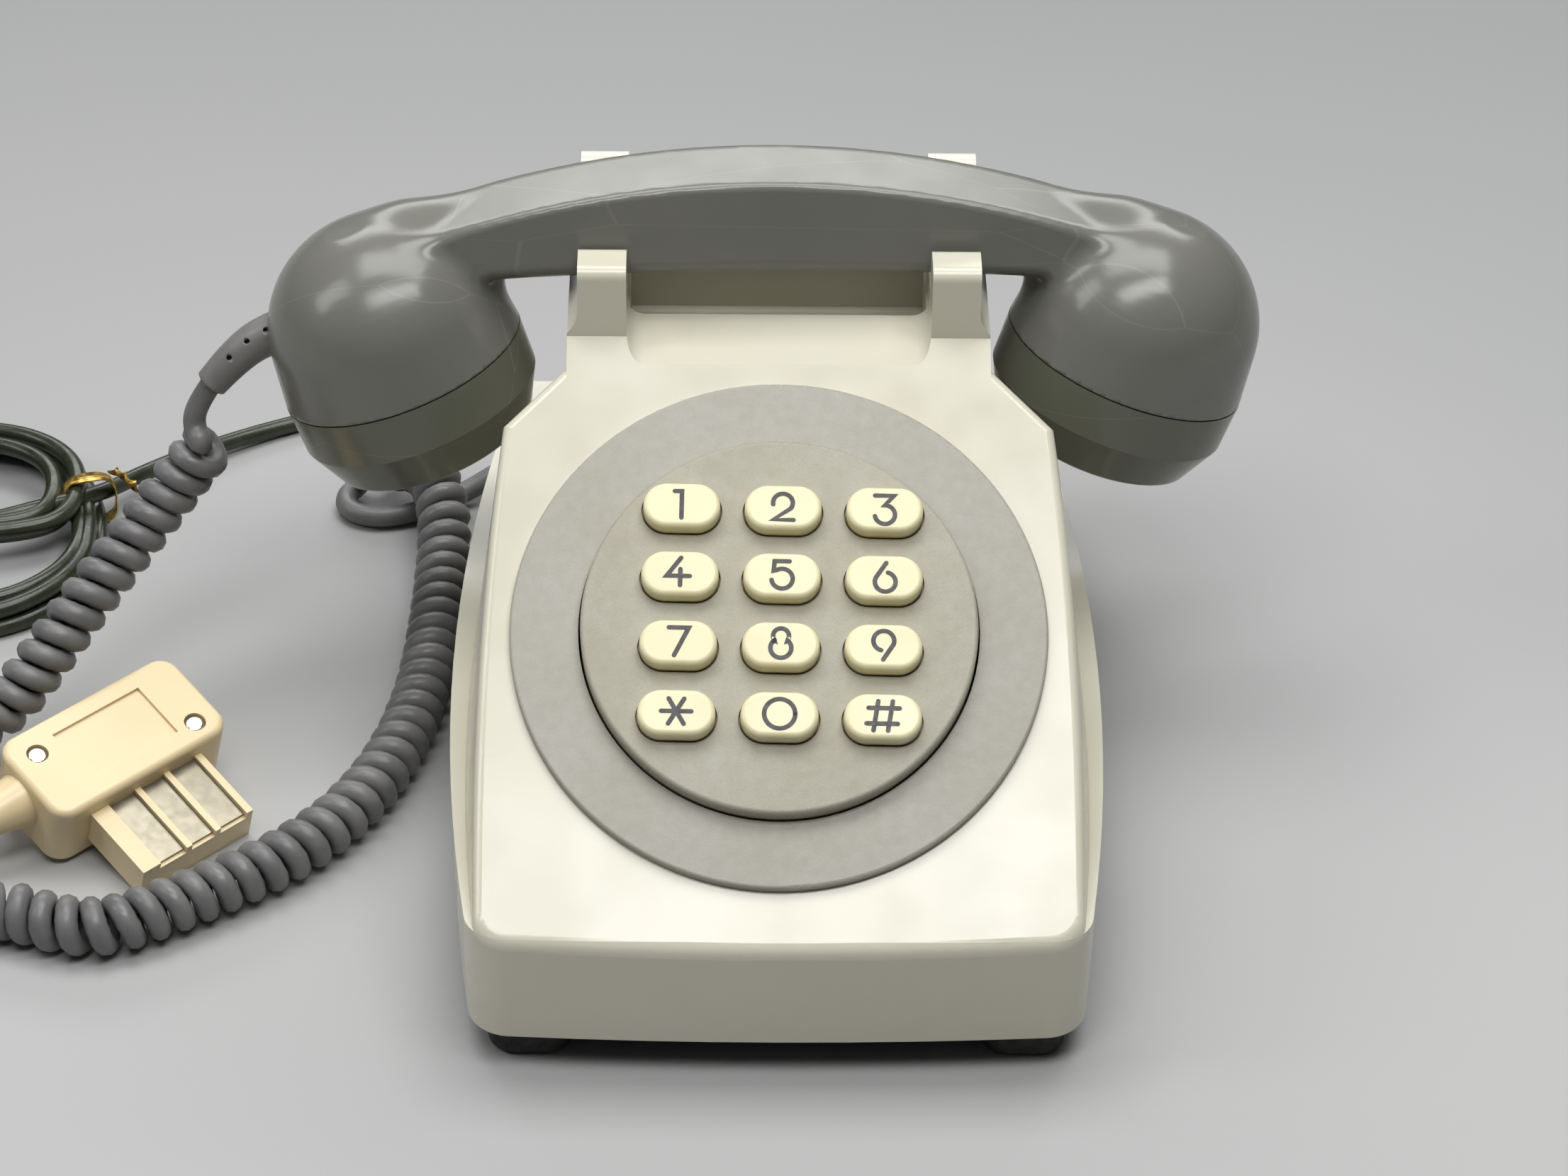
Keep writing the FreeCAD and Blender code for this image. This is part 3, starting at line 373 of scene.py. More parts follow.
def glossy_plastic(name, shade, grime, rough):
    """Moulded ABS: soft mottling, a faint orange peel, dulled patches and grime in corners."""
    s = Shader(name)
    mottled = s.mix(s.ramp(s.noise(25, 3), (0.4, 0.62), (0, 0.12)), shade, grime)
    s.colour(s.mix(s.ramp(s.crevices(0.002), (0.15, 0.7), (0.3, 1)), grime, mottled))
    s.roughness(s.noise(60, 5), *rough)
    s.bump(s.noise(900, 2), 0.06, 0.0002)
    s.set(IOR=1.53)
    return s.material


def textured_plastic(name, shade, grime, rough):
    """Spark-eroded matte plastic with a fine grain and brown dirt in its corners."""
    s = Shader(name)
    mottled = s.mix(s.ramp(s.noise(40, 5), (0.35, 0.65), (0, 0.35)), shade, grime)
    speckled = s.mix(s.ramp(s.noise(2600, 2), (0.45, 0.6), (0, 0.22)), mottled, grime)
    s.colour(s.mix(s.ramp(s.crevices(0.004), (0.1, 0.8), (0, 1)), grime, speckled))
    s.roughness(s.noise(400, 3), *rough)
    s.bump(s.noise(2200, 3), 0.25, 0.0002)
    return s.material


def cord_sheath(name, shade, worn, rough):
    """Flexible PVC with worn patches."""
    s = Shader(name)
    s.colour(s.mix(s.ramp(s.noise(120, 4), (0.4, 0.65), (0, 0.6)), shade, worn))
    s.roughness(s.noise(300, 4), *rough)
    s.bump(s.noise(1400, 2), 0.1, 0.0002)
    return s.material


def metal(name, shade, rough):
    """Plated or drawn metal with darker patches."""
    s = Shader(name)
    tarnish = tuple(c * 0.6 for c in shade)
    s.colour(s.mix(s.ramp(s.noise(300, 4), (0.35, 0.7), (0, 0.5)), shade, tarnish))
    s.roughness(s.noise(500, 3), *rough)
    s.bump(s.noise(900, 3), 0.08, 0.0001)
    s.set(Metallic=1.0)
    return s.material


def handset_plastic(name, shift=(0, 0, 0)):
    """Grey gloss plastic with faint dulled patches, thin pale scratches and dust in its corners.

    The shift is added to its sRGB shades; for the caps it is painted shade.
    """
    s = Shader(name)
    shade, dull = (linear(*(c + d for c, d in zip(rgb, shift))) for rgb in HANDSET_GREY)
    mottled = s.mix(s.ramp(s.noise(30, 4), (0.4, 0.62), (0, 0.35)), shade, dull)
    scratch = s.ramp(s.scratches(), (0.0, 0.004), (0.2, 0))
    scratched = s.mix(scratch, mottled, linear(*HANDSET_SCRATCH))
    dust = s.ramp(s.crevices(0.002), (0.2, 0.7), (0.6, 0))
    s.colour(s.mix(dust, scratched, linear(*HANDSET_DUST)))
    s.roughness(s.noise(80, 6), 0.2, 0.26)
    s.bump(s.noise(1100, 2), 0.05, 0.0002)
    s.set(IOR=1.5)
    return s.material


# ---------------------------------------------------------------- floor and light


def floor_material():
    """A pale tabletop with painted shade that darkens it toward the back, where the light falls off.
    """
    s = Shader("backdrop")
    split = s.nodes.new("ShaderNodeSeparateXYZ")
    s.links.new(s.place, split.inputs["Vector"])
    # painted shade: the colour fades to the darker back shade, where the light falls off
    depth = s.ramp(split.outputs["Y"], FLOOR_PAINTED_SHADE_FADE, (0, 1))
    front = s.mix(s.ramp(s.noise(3, 2), (0.3, 0.7), (0, 1)), *(linear(*rgb) for rgb in FLOOR_FRONT))
    s.colour(s.mix(depth, front, linear(*FLOOR_BACK_PAINTED_SHADE)))
    s.set(Roughness=0.8)
    return s.material


def studio():
    form = bmesh.new()
    bmesh.ops.create_grid(form, x_segments=1, y_segments=1, size=FLOOR_HALF)
    floor = new_object("floor", mesh_from(form, "floor"), floor_material())
    floor.location = FLOOR_MIDDLE
    world = bpy.data.worlds.new("studio")
    world.use_nodes = True
    sky = world.node_tree.nodes["Background"]
    sky.inputs["Color"].default_value = WORLD_COLOUR
    sky.inputs["Strength"].default_value = WORLD_STRENGTH
    bpy.context.scene.world = world
    bpy.context.scene.view_settings.view_transform = "Standard"
    for light in LIGHTS:
        area_light(*light)


# ---------------------------------------------------------------- cords


def nurbs_curve(name, points, radius=0.0):
    """A curve of one open NURBS spline with these frame points as its control points."""
    data = bpy.data.curves.new(name, "CURVE")
    data.dimensions = "3D"
    data.resolution_u = 12
    data.bevel_depth = radius * MM
    data.bevel_resolution = 5
    data.use_fill_caps = True
    spline = data.splines.new("NURBS")
    spline.points.add(len(points) - 1)
    for control, point in zip(spline.points, points):
        control.co = (*point, 1.0)
    spline.order_u = 3
    spline.use_endpoint_u = True
    return data


def route_line(points):
    """Points along the NURBS line that these control points give, in metres."""
    data = nurbs_curve("route", points)
    holder = bpy.data.objects.new("route", data)
    mesh = bpy.data.meshes.new_from_object(holder)
    found = [vertex.co.copy() for vertex in mesh.vertices]
    bpy.data.objects.remove(holder)
    bpy.data.curves.remove(data)
    bpy.data.meshes.remove(mesh)
    return found


def line_points(route):
    return route_line([place(point) for point in route])


def even_steps(points, step):
    """The same line with points at even distances of about step."""
    lengths = [(b - a).length for a, b in zip(points, points[1:])]
    total = sum(lengths)
    count = max(2, round(total / step))
    found, run, i = [], 0.0, 0
    for n in range(count + 1):
        target = total * n / count
        while i < len(lengths) - 1 and run + lengths[i] < target:
            run += lengths[i]
            i += 1
        found.append(points[i].lerp(points[i + 1], (target - run) / lengths[i]))
    return found, total


def carried_frames(points):
    """For each point, its direction and two sideways axes that don't twist along the line."""
    frames = []
    side = None
    for i, point in enumerate(points):
        ahead = points[min(i + 1, len(points) - 1)] - points[max(i - 1, 0)]
        ahead.normalize()
        side = ahead.orthogonal() if side is None else side - ahead * side.dot(ahead)
        side.normalize()
        frames.append((point, side.copy(), ahead.cross(side)))
    return frames


def tube_mesh(name, path, radius_at, sides):
    """A closed tube of quads around a path in metres; radius_at takes the share of the path."""
    form = bmesh.new()
    rings = []
    for i, (point, right, up) in enumerate(carried_frames(path)):
        radius = radius_at(i / (len(path) - 1))
        rings.append([
            form.verts.new(point + (right * math.cos(a) + up * math.sin(a)) * radius)
            for a in (2 * math.pi * k / sides for k in range(sides))
        ])
    for ring, after in zip(rings, rings[1:]):
        for k in range(sides):
            n = (k + 1) % sides
            form.faces.new((ring[k], ring[n], after[n], after[k])).smooth = True
    form.faces.new(list(reversed(rings[0])))
    form.faces.new(rings[-1])
    return mesh_from(form, name)


def helix(axis, turns, reach, phase):
    """Points of a helix around an axis line, and the direction it takes at each end."""
    frames = carried_frames(axis)
    steps = int(turns * STEPS_PER_TURN)
    points = []
    for n in range(steps + 1):
        point, right, up = frames[round(n / steps * (len(frames) - 1))]
        angle = phase + 2 * math.pi * turns * n / steps
        points.append(point + (right * math.cos(angle) + up * math.sin(angle)) * reach)
    return points, (points[1] - points[0]).normalized(), (points[-1] - points[-2]).normalized()


def curly_path():
    """The wire's own line: the lead from the boot, the helix, and the lead back to the casing."""
    axis, length = even_steps(line_points(CURLY_ROUTE), AXIS_STEP * MM)
    turns = length / (COIL_PITCH * MM)
    reach = (CURLY_R - WIRE_R) * MM
    lead_in = (place(HANDSET_LEAD[2]) - place(HANDSET_LEAD[1])).normalized()
    lead_out = (place(BASE_LEAD[2]) - place(BASE_LEAD[1])).normalized()

    def misfit(phase):
        _, first, last = helix(axis, turns, reach, phase)
        return -first.dot(lead_in) - 0.5 * last.dot(lead_out)

    phase = min((math.radians(30 * k) for k in range(12)), key=misfit)
    coil, first, last = helix(axis, turns, reach, phase)
    into_coil = [coil[0] - first * LEAD_PULL * MM, coil[0]]
    out_of_coil = [coil[-1], coil[-1] + last * LEAD_PULL * MM]
    start = route_line([place(p) for p in HANDSET_LEAD[:-1]] + into_coil)
    end = route_line(out_of_coil + [place(p) for p in BASE_LEAD[1:]])
    start, _ = even_steps(start, LEAD_STEP * MM)
    end, _ = even_steps(end, LEAD_STEP * MM)
    return start[:-1] + coil + end[1:]


def curly_cord(strain_relief):
    path = curly_path()
    sheath = cord_sheath("curly_sheath", *(linear(*rgb) for rgb in CURLY_GREY), SHEATH)
    mesh = tube_mesh("curly_cord_wire", path, lambda share: WIRE_R * MM, WIRE_SIDES)
    cord = new_object("curly_cord_wire", mesh, sheath)
    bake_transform(cord)
    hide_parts("handset_lead", "curly_cord", "base_lead")


def hank_points():
    """Loose turns of the line cord: wide rings below, then smaller loops drawn in by the tie."""
    x, y = HANK_CENTRE
    points = list(HANK_ENTRY)
    next_radii = [radius for radius, _, _ in RINGS[1:]] + [RING_END_R]
    for (radius, height, shift), next_radius in zip(RINGS, next_radii):
        for k in range(RING_POINTS):
            angle = math.radians(RING_START + k * 360 / RING_POINTS)
            reach = radius + (k / RING_POINTS) * (next_radius - radius)
            reach -= RING_PINCH * max(0.0, math.cos(angle - TIE_ANGLE)) ** 6
            across = x + shift + reach * math.cos(angle)
            back = y + shift * RING_SHIFT_Y + reach * math.sin(angle)
            points.append((across, back, height))
    for n, (size, height) in enumerate(LOOPS):
        for dx, dy in LOOP_OUTLINE:
            points.append((x + dx * size, y + dy * size - LOOP_SHIFT * n, height))
    return points + list(HANK_EXIT)


def line_cord(tie):
    points = list(LINE_ROUTE) + hank_points() + list(PLUG_CABLE)
    data = nurbs_curve("line_cord_wire", [place(point) for point in points], LINE_R)
    sheath = cord_sheath("line_sheath", *(linear(*rgb) for rgb in CORD_OLIVE), SHEATH_SHINY)
    data.materials.append(sheath)
    cord = bpy.data.objects.new("line_cord_wire", data)
    bpy.context.scene.collection.objects.link(cord)
    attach(cord, "base")
    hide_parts("line_cord", "line_hank", "plug_cable")
    path = line_points(points)


# ---------------------------------------------------------------- handset


def handset_place():
    """From the handset's own axes (along, depth, height) in millimetres to the frame."""
    middle = Matrix.Translation((0, HANDLE_DEPTH / 2, 0))
    yaw = middle @ Matrix.Rotation(HANDSET_YAW, 4, "Z") @ middle.inverted()
    lean = Matrix.Rotation(-HANDSET_LEAN, 4, "X")
    at = Matrix.Translation(Vector(HANDSET_AT) + ORIGIN)
    return Matrix.Scale(MM, 4) @ at @ yaw @ lean


def arc_through(first, middle, last, count):
    """Points on the circle's arc through three points of a plane."""
    (ax, ay), (bx, by), (cx, cy) = first, middle, last
    d = 2 * (ax * (by - cy) + bx * (cy - ay) + cx * (ay - by))
    sa, sb, sc = ax * ax + ay * ay, bx * bx + by * by, cx * cx + cy * cy
    ux = (sa * (by - cy) + sb * (cy - ay) + sc * (ay - by)) / d
    uy = (sa * (cx - bx) + sb * (ax - cx) + sc * (bx - ax)) / d
    radius = math.hypot(ax - ux, ay - uy)
    start, end = math.atan2(ay - uy, ax - ux), math.atan2(cy - uy, cx - ux)
    angles = [start + (end - start) * i / count for i in range(count + 1)]
    return [(ux + radius * math.cos(a), uy + radius * math.sin(a)) for a in angles]


def cup_outline():
    """Half of the cup's section, as radius and height above the seam, carried on below the seam."""
    side = (CUP_R - 1.5, CUP_SIDE)
    shoulder = (CUP_R * 0.72, CUP_SIDE + (CUP_TOP - CUP_SIDE) * 0.635)
    dome = arc_through(side, shoulder, (6.0, CUP_TOP), 14)
    return [(0.0, -CUP_BELOW), (CUP_R, -CUP_BELOW), (CUP_R, 0.0), *dome, (0.0, CUP_TOP + 0.2)]


def outline_distance(radius, height, outline):
    """Signed distance to a convex outline of radius and height, negative inside."""
    nearest = np.full(radius.shape, 1e9)
    inside = np.full(radius.shape, -1e9)
    for (ax, ay), (bx, by) in zip(outline, outline[1:]):
        ex, ey = bx - ax, by - ay
        length = math.hypot(ex, ey)
        px, py = radius - ax, height - ay
        t = np.clip((px * ex + py * ey) / length ** 2, 0, 1)
        nearest = np.minimum(nearest, np.hypot(px - t * ex, py - t * ey))
        inside = np.maximum(inside, (px * ey - py * ex) / length)
    return np.where(inside > 0, nearest, -nearest)


def rounded_both(first, second, radius):
    """Distance to what two solids have in common, with the edge between them rounded."""
    reach = np.hypot(np.maximum(first + radius, 0), np.maximum(second + radius, 0))
    return np.minimum(np.maximum(first, second), -radius) + reach


def smooth_step(value, low, high):
    t = np.clip((value - low) / (high - low), 0, 1)
    return t * t * (3 - 2 * t)


def handle_distance(x, y, z):
    """The arched bar, whose upper front edge is crisp in the middle and softer near the cups."""
    spread = smooth_step(np.abs(x), *EDGE_SOFTENS)
    top = z - (HANDLE_HEIGHT + HANDLE_RISE * y / HANDLE_DEPTH - x * x / (2 * TOP_ARCH_R))
    top = top / np.sqrt(1 + (x / TOP_ARCH_R) ** 2)
    under = -x * x / (2 * UNDER_ARCH_R) - z
    depth = np.maximum(-y, y - HANDLE_DEPTH)
    front_r = FRONT_EDGE_R[0] + FRONT_EDGE_R[1] * spread
    back_r = BACK_EDGE_R[0] + BACK_EDGE_R[1] * spread
    body = rounded_both(depth, top, np.where(y < HANDLE_DEPTH / 2, front_r, back_r))
    body = rounded_both(body, under, UNDER_EDGE_R)
    return rounded_both(body, np.abs(x) - CUP_REACH - HANDLE_OVERLAP, HANDLE_END_R)


def handset_distance(points):
    """Signed distance to the handset: the bar flows into the cups at its ends."""
    x, y, z = points[:, 0], points[:, 1], points[:, 2]
    u, v, w = np.abs(x) - CUP_REACH, y - HANDLE_DEPTH / 2, z + CUP_DROP
    across = u * math.cos(CUP_TILT) - w * math.sin(CUP_TILT)
    along = u * math.sin(CUP_TILT) + w * math.cos(CUP_TILT)
    cup = outline_distance(np.hypot(across, v), along, cup_outline())
    bar = handle_distance(x, y, z)
    blend = CUP_BLEND[0] + CUP_BLEND[1] * smooth_step(y, *CUP_BLEND_DEPTH)
    share = np.clip(0.5 + 0.5 * (bar - cup) / blend, 0, 1)
    return bar + (cup - bar) * share - blend * share * (1 - share)


def level_surface(field, low, step):
    """Vertices and quads around the zero level of a grid of distances."""
    cells = tuple(n - 1 for n in field.shape)
    total, count = np.zeros((*cells, 3)), np.zeros(cells)
    for axis in range(3):
        u, v = (axis + 1) % 3, (axis + 2) % 3
        for du, dv in ((0, 0), (0, 1), (1, 0), (1, 1)):
            start = np.zeros(3, int)
            start[u], start[v] = du, dv
            near = field[tuple(slice(a, a + n) for a, n in zip(start, cells))]
            ahead = start.copy()
            ahead[axis] = 1
            far = field[tuple(slice(a, a + n) for a, n in zip(ahead, cells))]
            crossed = (near < 0) != (far < 0)
            share = np.where(crossed, near / np.where(crossed, near - far, 1), 0)
            total[..., axis] += share
            total[..., u] += np.where(crossed, du, 0)
            total[..., v] += np.where(crossed, dv, 0)
            count += crossed
    used = count > 0
    number = np.full(cells, -1)
    number[used] = np.arange(used.sum())
    vertices = low + step * (np.argwhere(used) + total[used] / count[used][:, None])
    quads = []
    for axis in range(3):
        du, dv = np.zeros(3, int), np.zeros(3, int)
        du[(axis + 1) % 3], dv[(axis + 2) % 3] = 1, 1
        inner = [slice(1, -1)] * 3
        inner[axis] = slice(0, -1)
        outer = [slice(1, -1)] * 3
        outer[axis] = slice(1, None)
        near, far = field[tuple(inner)] < 0, field[tuple(outer)] < 0
        offset = np.ones(3, int)
        offset[axis] = 0
        for outward in (True, False):
            at = np.argwhere(near & ~far if outward else ~near & far) + offset
            ring = [number[tuple((at - shift).T)] for shift in (du + dv, dv, 0 * du, du)]
            quads.append(np.stack(ring if outward else ring[::-1], axis=1))
    return vertices, np.concatenate(quads)


def handset_form():
    """The handset's outer surface as a mesh in its own axes, in millimetres."""
    low = np.array(GRID_LOW)
    axes = [np.arange(a, b, GRID_STEP) for a, b in zip(GRID_LOW, GRID_HIGH)]
    grid = np.stack(np.meshgrid(*axes, indexing="ij"), axis=-1)
    field = handset_distance(grid.reshape(-1, 3)).reshape(grid.shape[:3])
    vertices, quads = level_surface(field, low, GRID_STEP)
    for _ in range(SETTLE_ROUNDS):
        away = handset_distance(vertices)
        slope = np.stack([
            (handset_distance(vertices + nudge) - handset_distance(vertices - nudge)) / (2 * NUDGE)
            for nudge in NUDGE * np.eye(3)
        ], axis=1)
        steep = np.maximum((slope ** 2).sum(axis=1), LEAST_SLOPE)
        vertices = vertices - slope * (away / steep)[:, None]
    form = bmesh.new()
    points = [form.verts.new(v) for v in vertices]
    for quad in quads:
        form.faces.new([points[i] for i in quad]).smooth = True
    return form


def open_mouths(form):
    """Cut each cup off just above its seam and turn the rim in, so that a thin dark gap is left."""
    for side in (-1, 1):
        axis = Vector((side * math.sin(CUP_TILT), 0, math.cos(CUP_TILT)))
        seam = Vector((side * CUP_REACH, HANDLE_DEPTH / 2, -CUP_DROP)) + axis * SEAM_GAP
        near = [f for f in form.faces if side * f.calc_center_median().x > CUP_SIDE_FROM]
        edges = list(dict.fromkeys(e for f in near for e in f.edges))
        verts = list(dict.fromkeys(v for f in near for v in f.verts))
        cut = bmesh.ops.bisect_plane(form, geom=near + edges + verts, plane_co=seam, plane_no=axis,
                                     clear_inner=True)
        rim = [e for e in cut["geom_cut"] if isinstance(e, bmesh.types.BMEdge)]
        for drop, shrink in RIM_STEPS:
            made = bmesh.ops.extrude_edge_only(form, edges=rim)["geom"]
            rim = [e for e in made if isinstance(e, bmesh.types.BMEdge)]
            for vertex in {v for e in rim for v in e.verts}:
                vertex.co = seam + (vertex.co - seam) * shrink + axis * drop
        bmesh.ops.holes_fill(form, edges=rim)


def handset():
    form = handset_form()
    open_mouths(form)
    bmesh.ops.recalc_face_normals(form, faces=form.faces)
    form.transform(handset_place())
    plastic = handset_plastic("handset_abs")
    shell = new_object("handset_body", mesh_from(form, "handset_body"), plastic)
    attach(shell, "handset")
    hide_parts("handset_shell")


def boot_radius(share):
    """The boot's radius in metres, at a share of its length."""
    start_r, end_r = BOOT_R
    return (start_r + (end_r - start_r) * share) * MM


def boot_drills(path):
    """One object with a short cylinder for each hole in the boot."""
    form = bmesh.new()
    toward = Vector(BOOT_LIT_SIDE).normalized()
    turn = toward.to_track_quat("Z", "Y").to_matrix().to_4x4()
    for share in BOOT_HOLES:
        at = path[round(share * (len(path) - 1))]
        spot = Matrix.Translation(at + toward * boot_radius(share)) @ turn
        bmesh.ops.create_cone(form, cap_ends=True, segments=16, radius1=BOOT_HOLE_R * MM,
                              radius2=BOOT_HOLE_R * MM, depth=BOOT_HOLE_DEPTH * MM, matrix=spot)
    return new_object("drills", mesh_from(form, "drills"))


def boot():
    """The tapered strain relief, with the four little holes moulded into its lit side."""
    path, _ = even_steps(line_points(BOOT_ROUTE), BOOT_STEP * MM)
    grey = cord_sheath("boot_grey", *(linear(*rgb) for rgb in BOOT_GREY), SHEATH)
    piece = new_object("boot", tube_mesh("boot", path, boot_radius, BOOT_SIDES), grey)
    drills = boot_drills(path)
    cut = piece.modifiers.new("holes", "BOOLEAN")
    cut.operation = "DIFFERENCE"
    cut.object = drills
    cut.solver = "EXACT"
    ready = piece.evaluated_get(bpy.context.evaluated_depsgraph_get())
    holed = bpy.data.meshes.new_from_object(ready)
    piece.modifiers.clear()
    piece.data = holed
    bpy.data.objects.remove(drills)
    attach(piece, "handset")
    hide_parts("handset_boot")
    return piece


# ---------------------------------------------------------------- signs on the keys


def arc(x, y, radius, start, end):
    """Points of a circle's arc between two angles in degrees."""
    count = max(6, round(abs(end - start) / 8))
    angles = [math.radians(start + (end - start) * i / count) for i in range(count + 1)]
    return [(x + radius * math.cos(a), y + radius * math.sin(a)) for a in angles]


# middle lines of the strokes, in millimetres from the middle of the key
SIGNS = {
    "1": [[(-1.6, 3.15), (0.0, 3.15), (0.0, -3.2)]],
    "2": [arc(-0.1, 0.85, 2.2, 190, -38) + [(-2.2, -3.2), (2.3, -3.2)]],
    "3": [[(-2.2, 3.1), (2.0, 3.1), (0.0, 0.8)] + arc(0.0, -1.45, 2.25, 90, -170)],
    "4": [[(0.2, 3.5), (-2.9, -0.8), (2.2, -0.8)], [(0.1, 0.8), (0.1, -3.0)]],
    "5": [[(1.6, 3.2), (-1.7, 3.2), (-1.9, 0.9)] + arc(0.0, -0.95, 2.35, 122, -172)],
    "6": [[(0.4, 3.3), (-1.7, 0.1)] + arc(0.2, -1.2, 2.3, 155, 435)],
    "7": [[(-2.1, 3.3), (2.3, 3.3), (-0.8, -3.2)]],
    "8": [arc(0.0, -1.0, 2.3, 128, 412) + arc(0.0, 1.85, 1.75, -40, 220)
          + arc(0.0, -1.0, 2.3, 128, 136)],
    "9": [[(-0.1, -3.2), (1.9, 0.0)] + arc(0.0, 1.2, 2.3, -25, 255)],
    "0": [arc(0.0, 0.0, 3.4, 0, 360)],
    "star": [[(-3.3, 0.1), (3.3, 0.1)], [(-1.7, 3.0), (1.7, -2.8)], [(1.7, 3.0), (-1.7, -2.8)]],
    "hash": [[(-1.1, 3.4), (-2.1, -3.4)], [(2.1, 3.4), (1.1, -3.4)],
             [(-3.2, 1.8), (3.6, 1.8)], [(-3.6, -1.8), (3.2, -1.8)]],
}


def stroke_outline(line):
    """The outline of a stroke with round ends around a line of points."""
    line = [Vector((*p, 0)) for p in line]
    left, right = [], []
    for i, point in enumerate(line):
        before = (point - line[i - 1]).normalized() if i else None
        after = (line[i + 1] - point).normalized() if i < len(line) - 1 else None
        first, second = before or after, after or before
        across = Vector((-first.y - second.y, first.x + second.x, 0)).normalized()
        stretch = 1 / max(0.45, across.dot(Vector((-first.y, first.x, 0))))
        left.append(point + across * STROKE_HALF * stretch)
        right.append(point - across * STROKE_HALF * stretch)
    tail = (line[-1] - line[-2]).normalized()
    nose = (line[0] - line[1]).normalized()
    return left + round_end(line[-1], tail) + right[::-1] + round_end(line[0], nose)


def round_end(at, way):
    """The half circle at a stroke's end, from its left side to its right."""
    side = Vector((-way.y, way.x, 0))
    angles = [math.pi * k / 8 for k in range(1, 8)]
    return [at + (side * math.cos(a) + way * math.sin(a)) * STROKE_HALF for a in angles]


def sign_form(name):
    """The raised strokes of one sign, in millimetres from the middle of the key's top."""
    form = bmesh.new()
    for layer, line in enumerate(SIGNS[name]):
        top = Vector((0, 0, SIGN_PROUD + SIGN_LAYER * layer))
        outline = [point + top for point in stroke_outline(line)]
        face = form.faces.new([form.verts.new(point) for point in reversed(outline)])
        wall = bmesh.ops.extrude_face_region(form, geom=[face])["geom"]
        for vertex in (g for g in wall if isinstance(g, bmesh.types.BMVert)):
            vertex.co.z = -SIGN_SINK
    bmesh.ops.triangulate(form, faces=form.faces)
    bmesh.ops.recalc_face_normals(form, faces=form.faces)
    return form


def key_signs():
    """The number or sign on each key, riding on that key."""
    ink = Shader("sign_ink")
    worn = ink.ramp(ink.noise(700, 3), (0.4, 0.65), (0, 1))
    ink.colour(ink.mix(worn, *(linear(*rgb) for rgb in INK)))
    ink.roughness(ink.noise(900, 3), 0.35, 0.5)
    slope = Matrix.Translation(Vector(DIAL_CENTRE) + ORIGIN) @ Matrix.Rotation(FACE_TILT, 4, "X")
    turn = Matrix.Rotation(KEYPAD_TURN, 4, "Z")
    for row, names in enumerate(KEY_ROWS):
        for column, name in enumerate(names):
            x = (column - 1) * KEY_PITCH[0] + KEY_OFFSET[0]
            y = (1.5 - row) * KEY_PITCH[1] + KEY_OFFSET[1]
            form = sign_form(name)
            spot = turn @ Matrix.Translation((x, y, KEY_TOP))
            form.transform(Matrix.Scale(MM, 4) @ slope @ spot)
            sign = new_object(f"sign_{name}", mesh_from(form, f"sign_{name}"), ink.material)
            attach(sign, f"key_{name}")


# ---------------------------------------------------------------- twist tie


def rounded_square(value):
    return math.copysign(abs(value) ** TIE_SQUARENESS, value)


def tie_band(form, centre, out, up, along):
    """The strip around the hank: a rounded square with slightly waving edges."""
    strip = []
    for k in range(TIE_POINTS):
        angle = 2 * math.pi * k / TIE_POINTS
        across = rounded_square(math.cos(angle)) * TIE_SIZE[0]
        height = rounded_square(math.sin(angle)) * TIE_SIZE[1]
        spot = centre + out * across + up * height
        half = TIE_HALF_WIDTH + TIE_WAVE * math.sin(TIE_WAVES * angle)
        strip.append([form.verts.new(spot - along * half), form.verts.new(spot + along * half)])
    for i, (a, b) in enumerate(strip):
        c, d = strip[(i + 1) % TIE_POINTS]
        form.faces.new((a, b, d, c)).smooth = True


def tie_tail(form, start, turn, out, up, along):
    """One end of the strip, spiralling round the line that both ends share."""
    before = None
    for k in range(TAIL_STEPS):
        t = k / (TAIL_STEPS - 1)
        spin = turn + TAIL_TWIST * t
        away = out * (TAIL_OUT[0] + TAIL_OUT[1] * t)
        lift = up * (TAIL_LIFT[0] + TAIL_LIFT[1] * math.sin(math.pi * t))
        spot = start + along * (TAIL_LENGTH * t) + away + lift
        wide = (out * math.cos(spin) + up * math.sin(spin)) * TAIL_HALF_WIDTH
        pair = [form.verts.new(spot - wide), form.verts.new(spot + wide)]
        if before:
            form.faces.new((*before, *reversed(pair))).smooth = True
        before = pair


def twist_tie():
    """The gold strip around the hank, with its two ends twisted together."""
    gold = Shader("tie_gold")
    worn = gold.ramp(gold.noise(500, 3), (0.4, 0.6), (0, 1))
    gold.colour(gold.mix(worn, *(linear(*rgb) for rgb in TIE_GOLD)))
    gold.roughness(gold.noise(700, 3), 0.25, 0.4)
    gold.set(Metallic=0.7)
    centre = Vector(TIE_CENTRE)
    out = Vector((math.cos(TIE_ANGLE), math.sin(TIE_ANGLE), 0))
    up = Vector((0, 0, 1))
    along = out.cross(up)
    form = bmesh.new()
    tie_band(form, centre, out, up, along)
    start = centre + out * (TIE_SIZE[0] * 0.5) + up * TIE_SIZE[1]
    for turn in (0.0, math.pi):
        tie_tail(form, start, turn, out, up, along)
    form.transform(Matrix.Scale(MM, 4) @ Matrix.Translation(ORIGIN))
    tie = new_object("twist_tie", mesh_from(form, "twist_tie"), gold.material)
    solid = tie.modifiers.new("thickness", "SOLIDIFY")
    solid.thickness = TIE_THICKNESS * MM
    solid.offset = 0
    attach(tie, "base")
    return tie


# ---------------------------------------------------------------- CAD nodes' materials

KEY_NODES = tuple(f"key_{name}" for names in KEY_ROWS for name in names)
FOOT_NODES = ("foot_front_left", "foot_front_right", "foot_rear_left", "foot_rear_right")

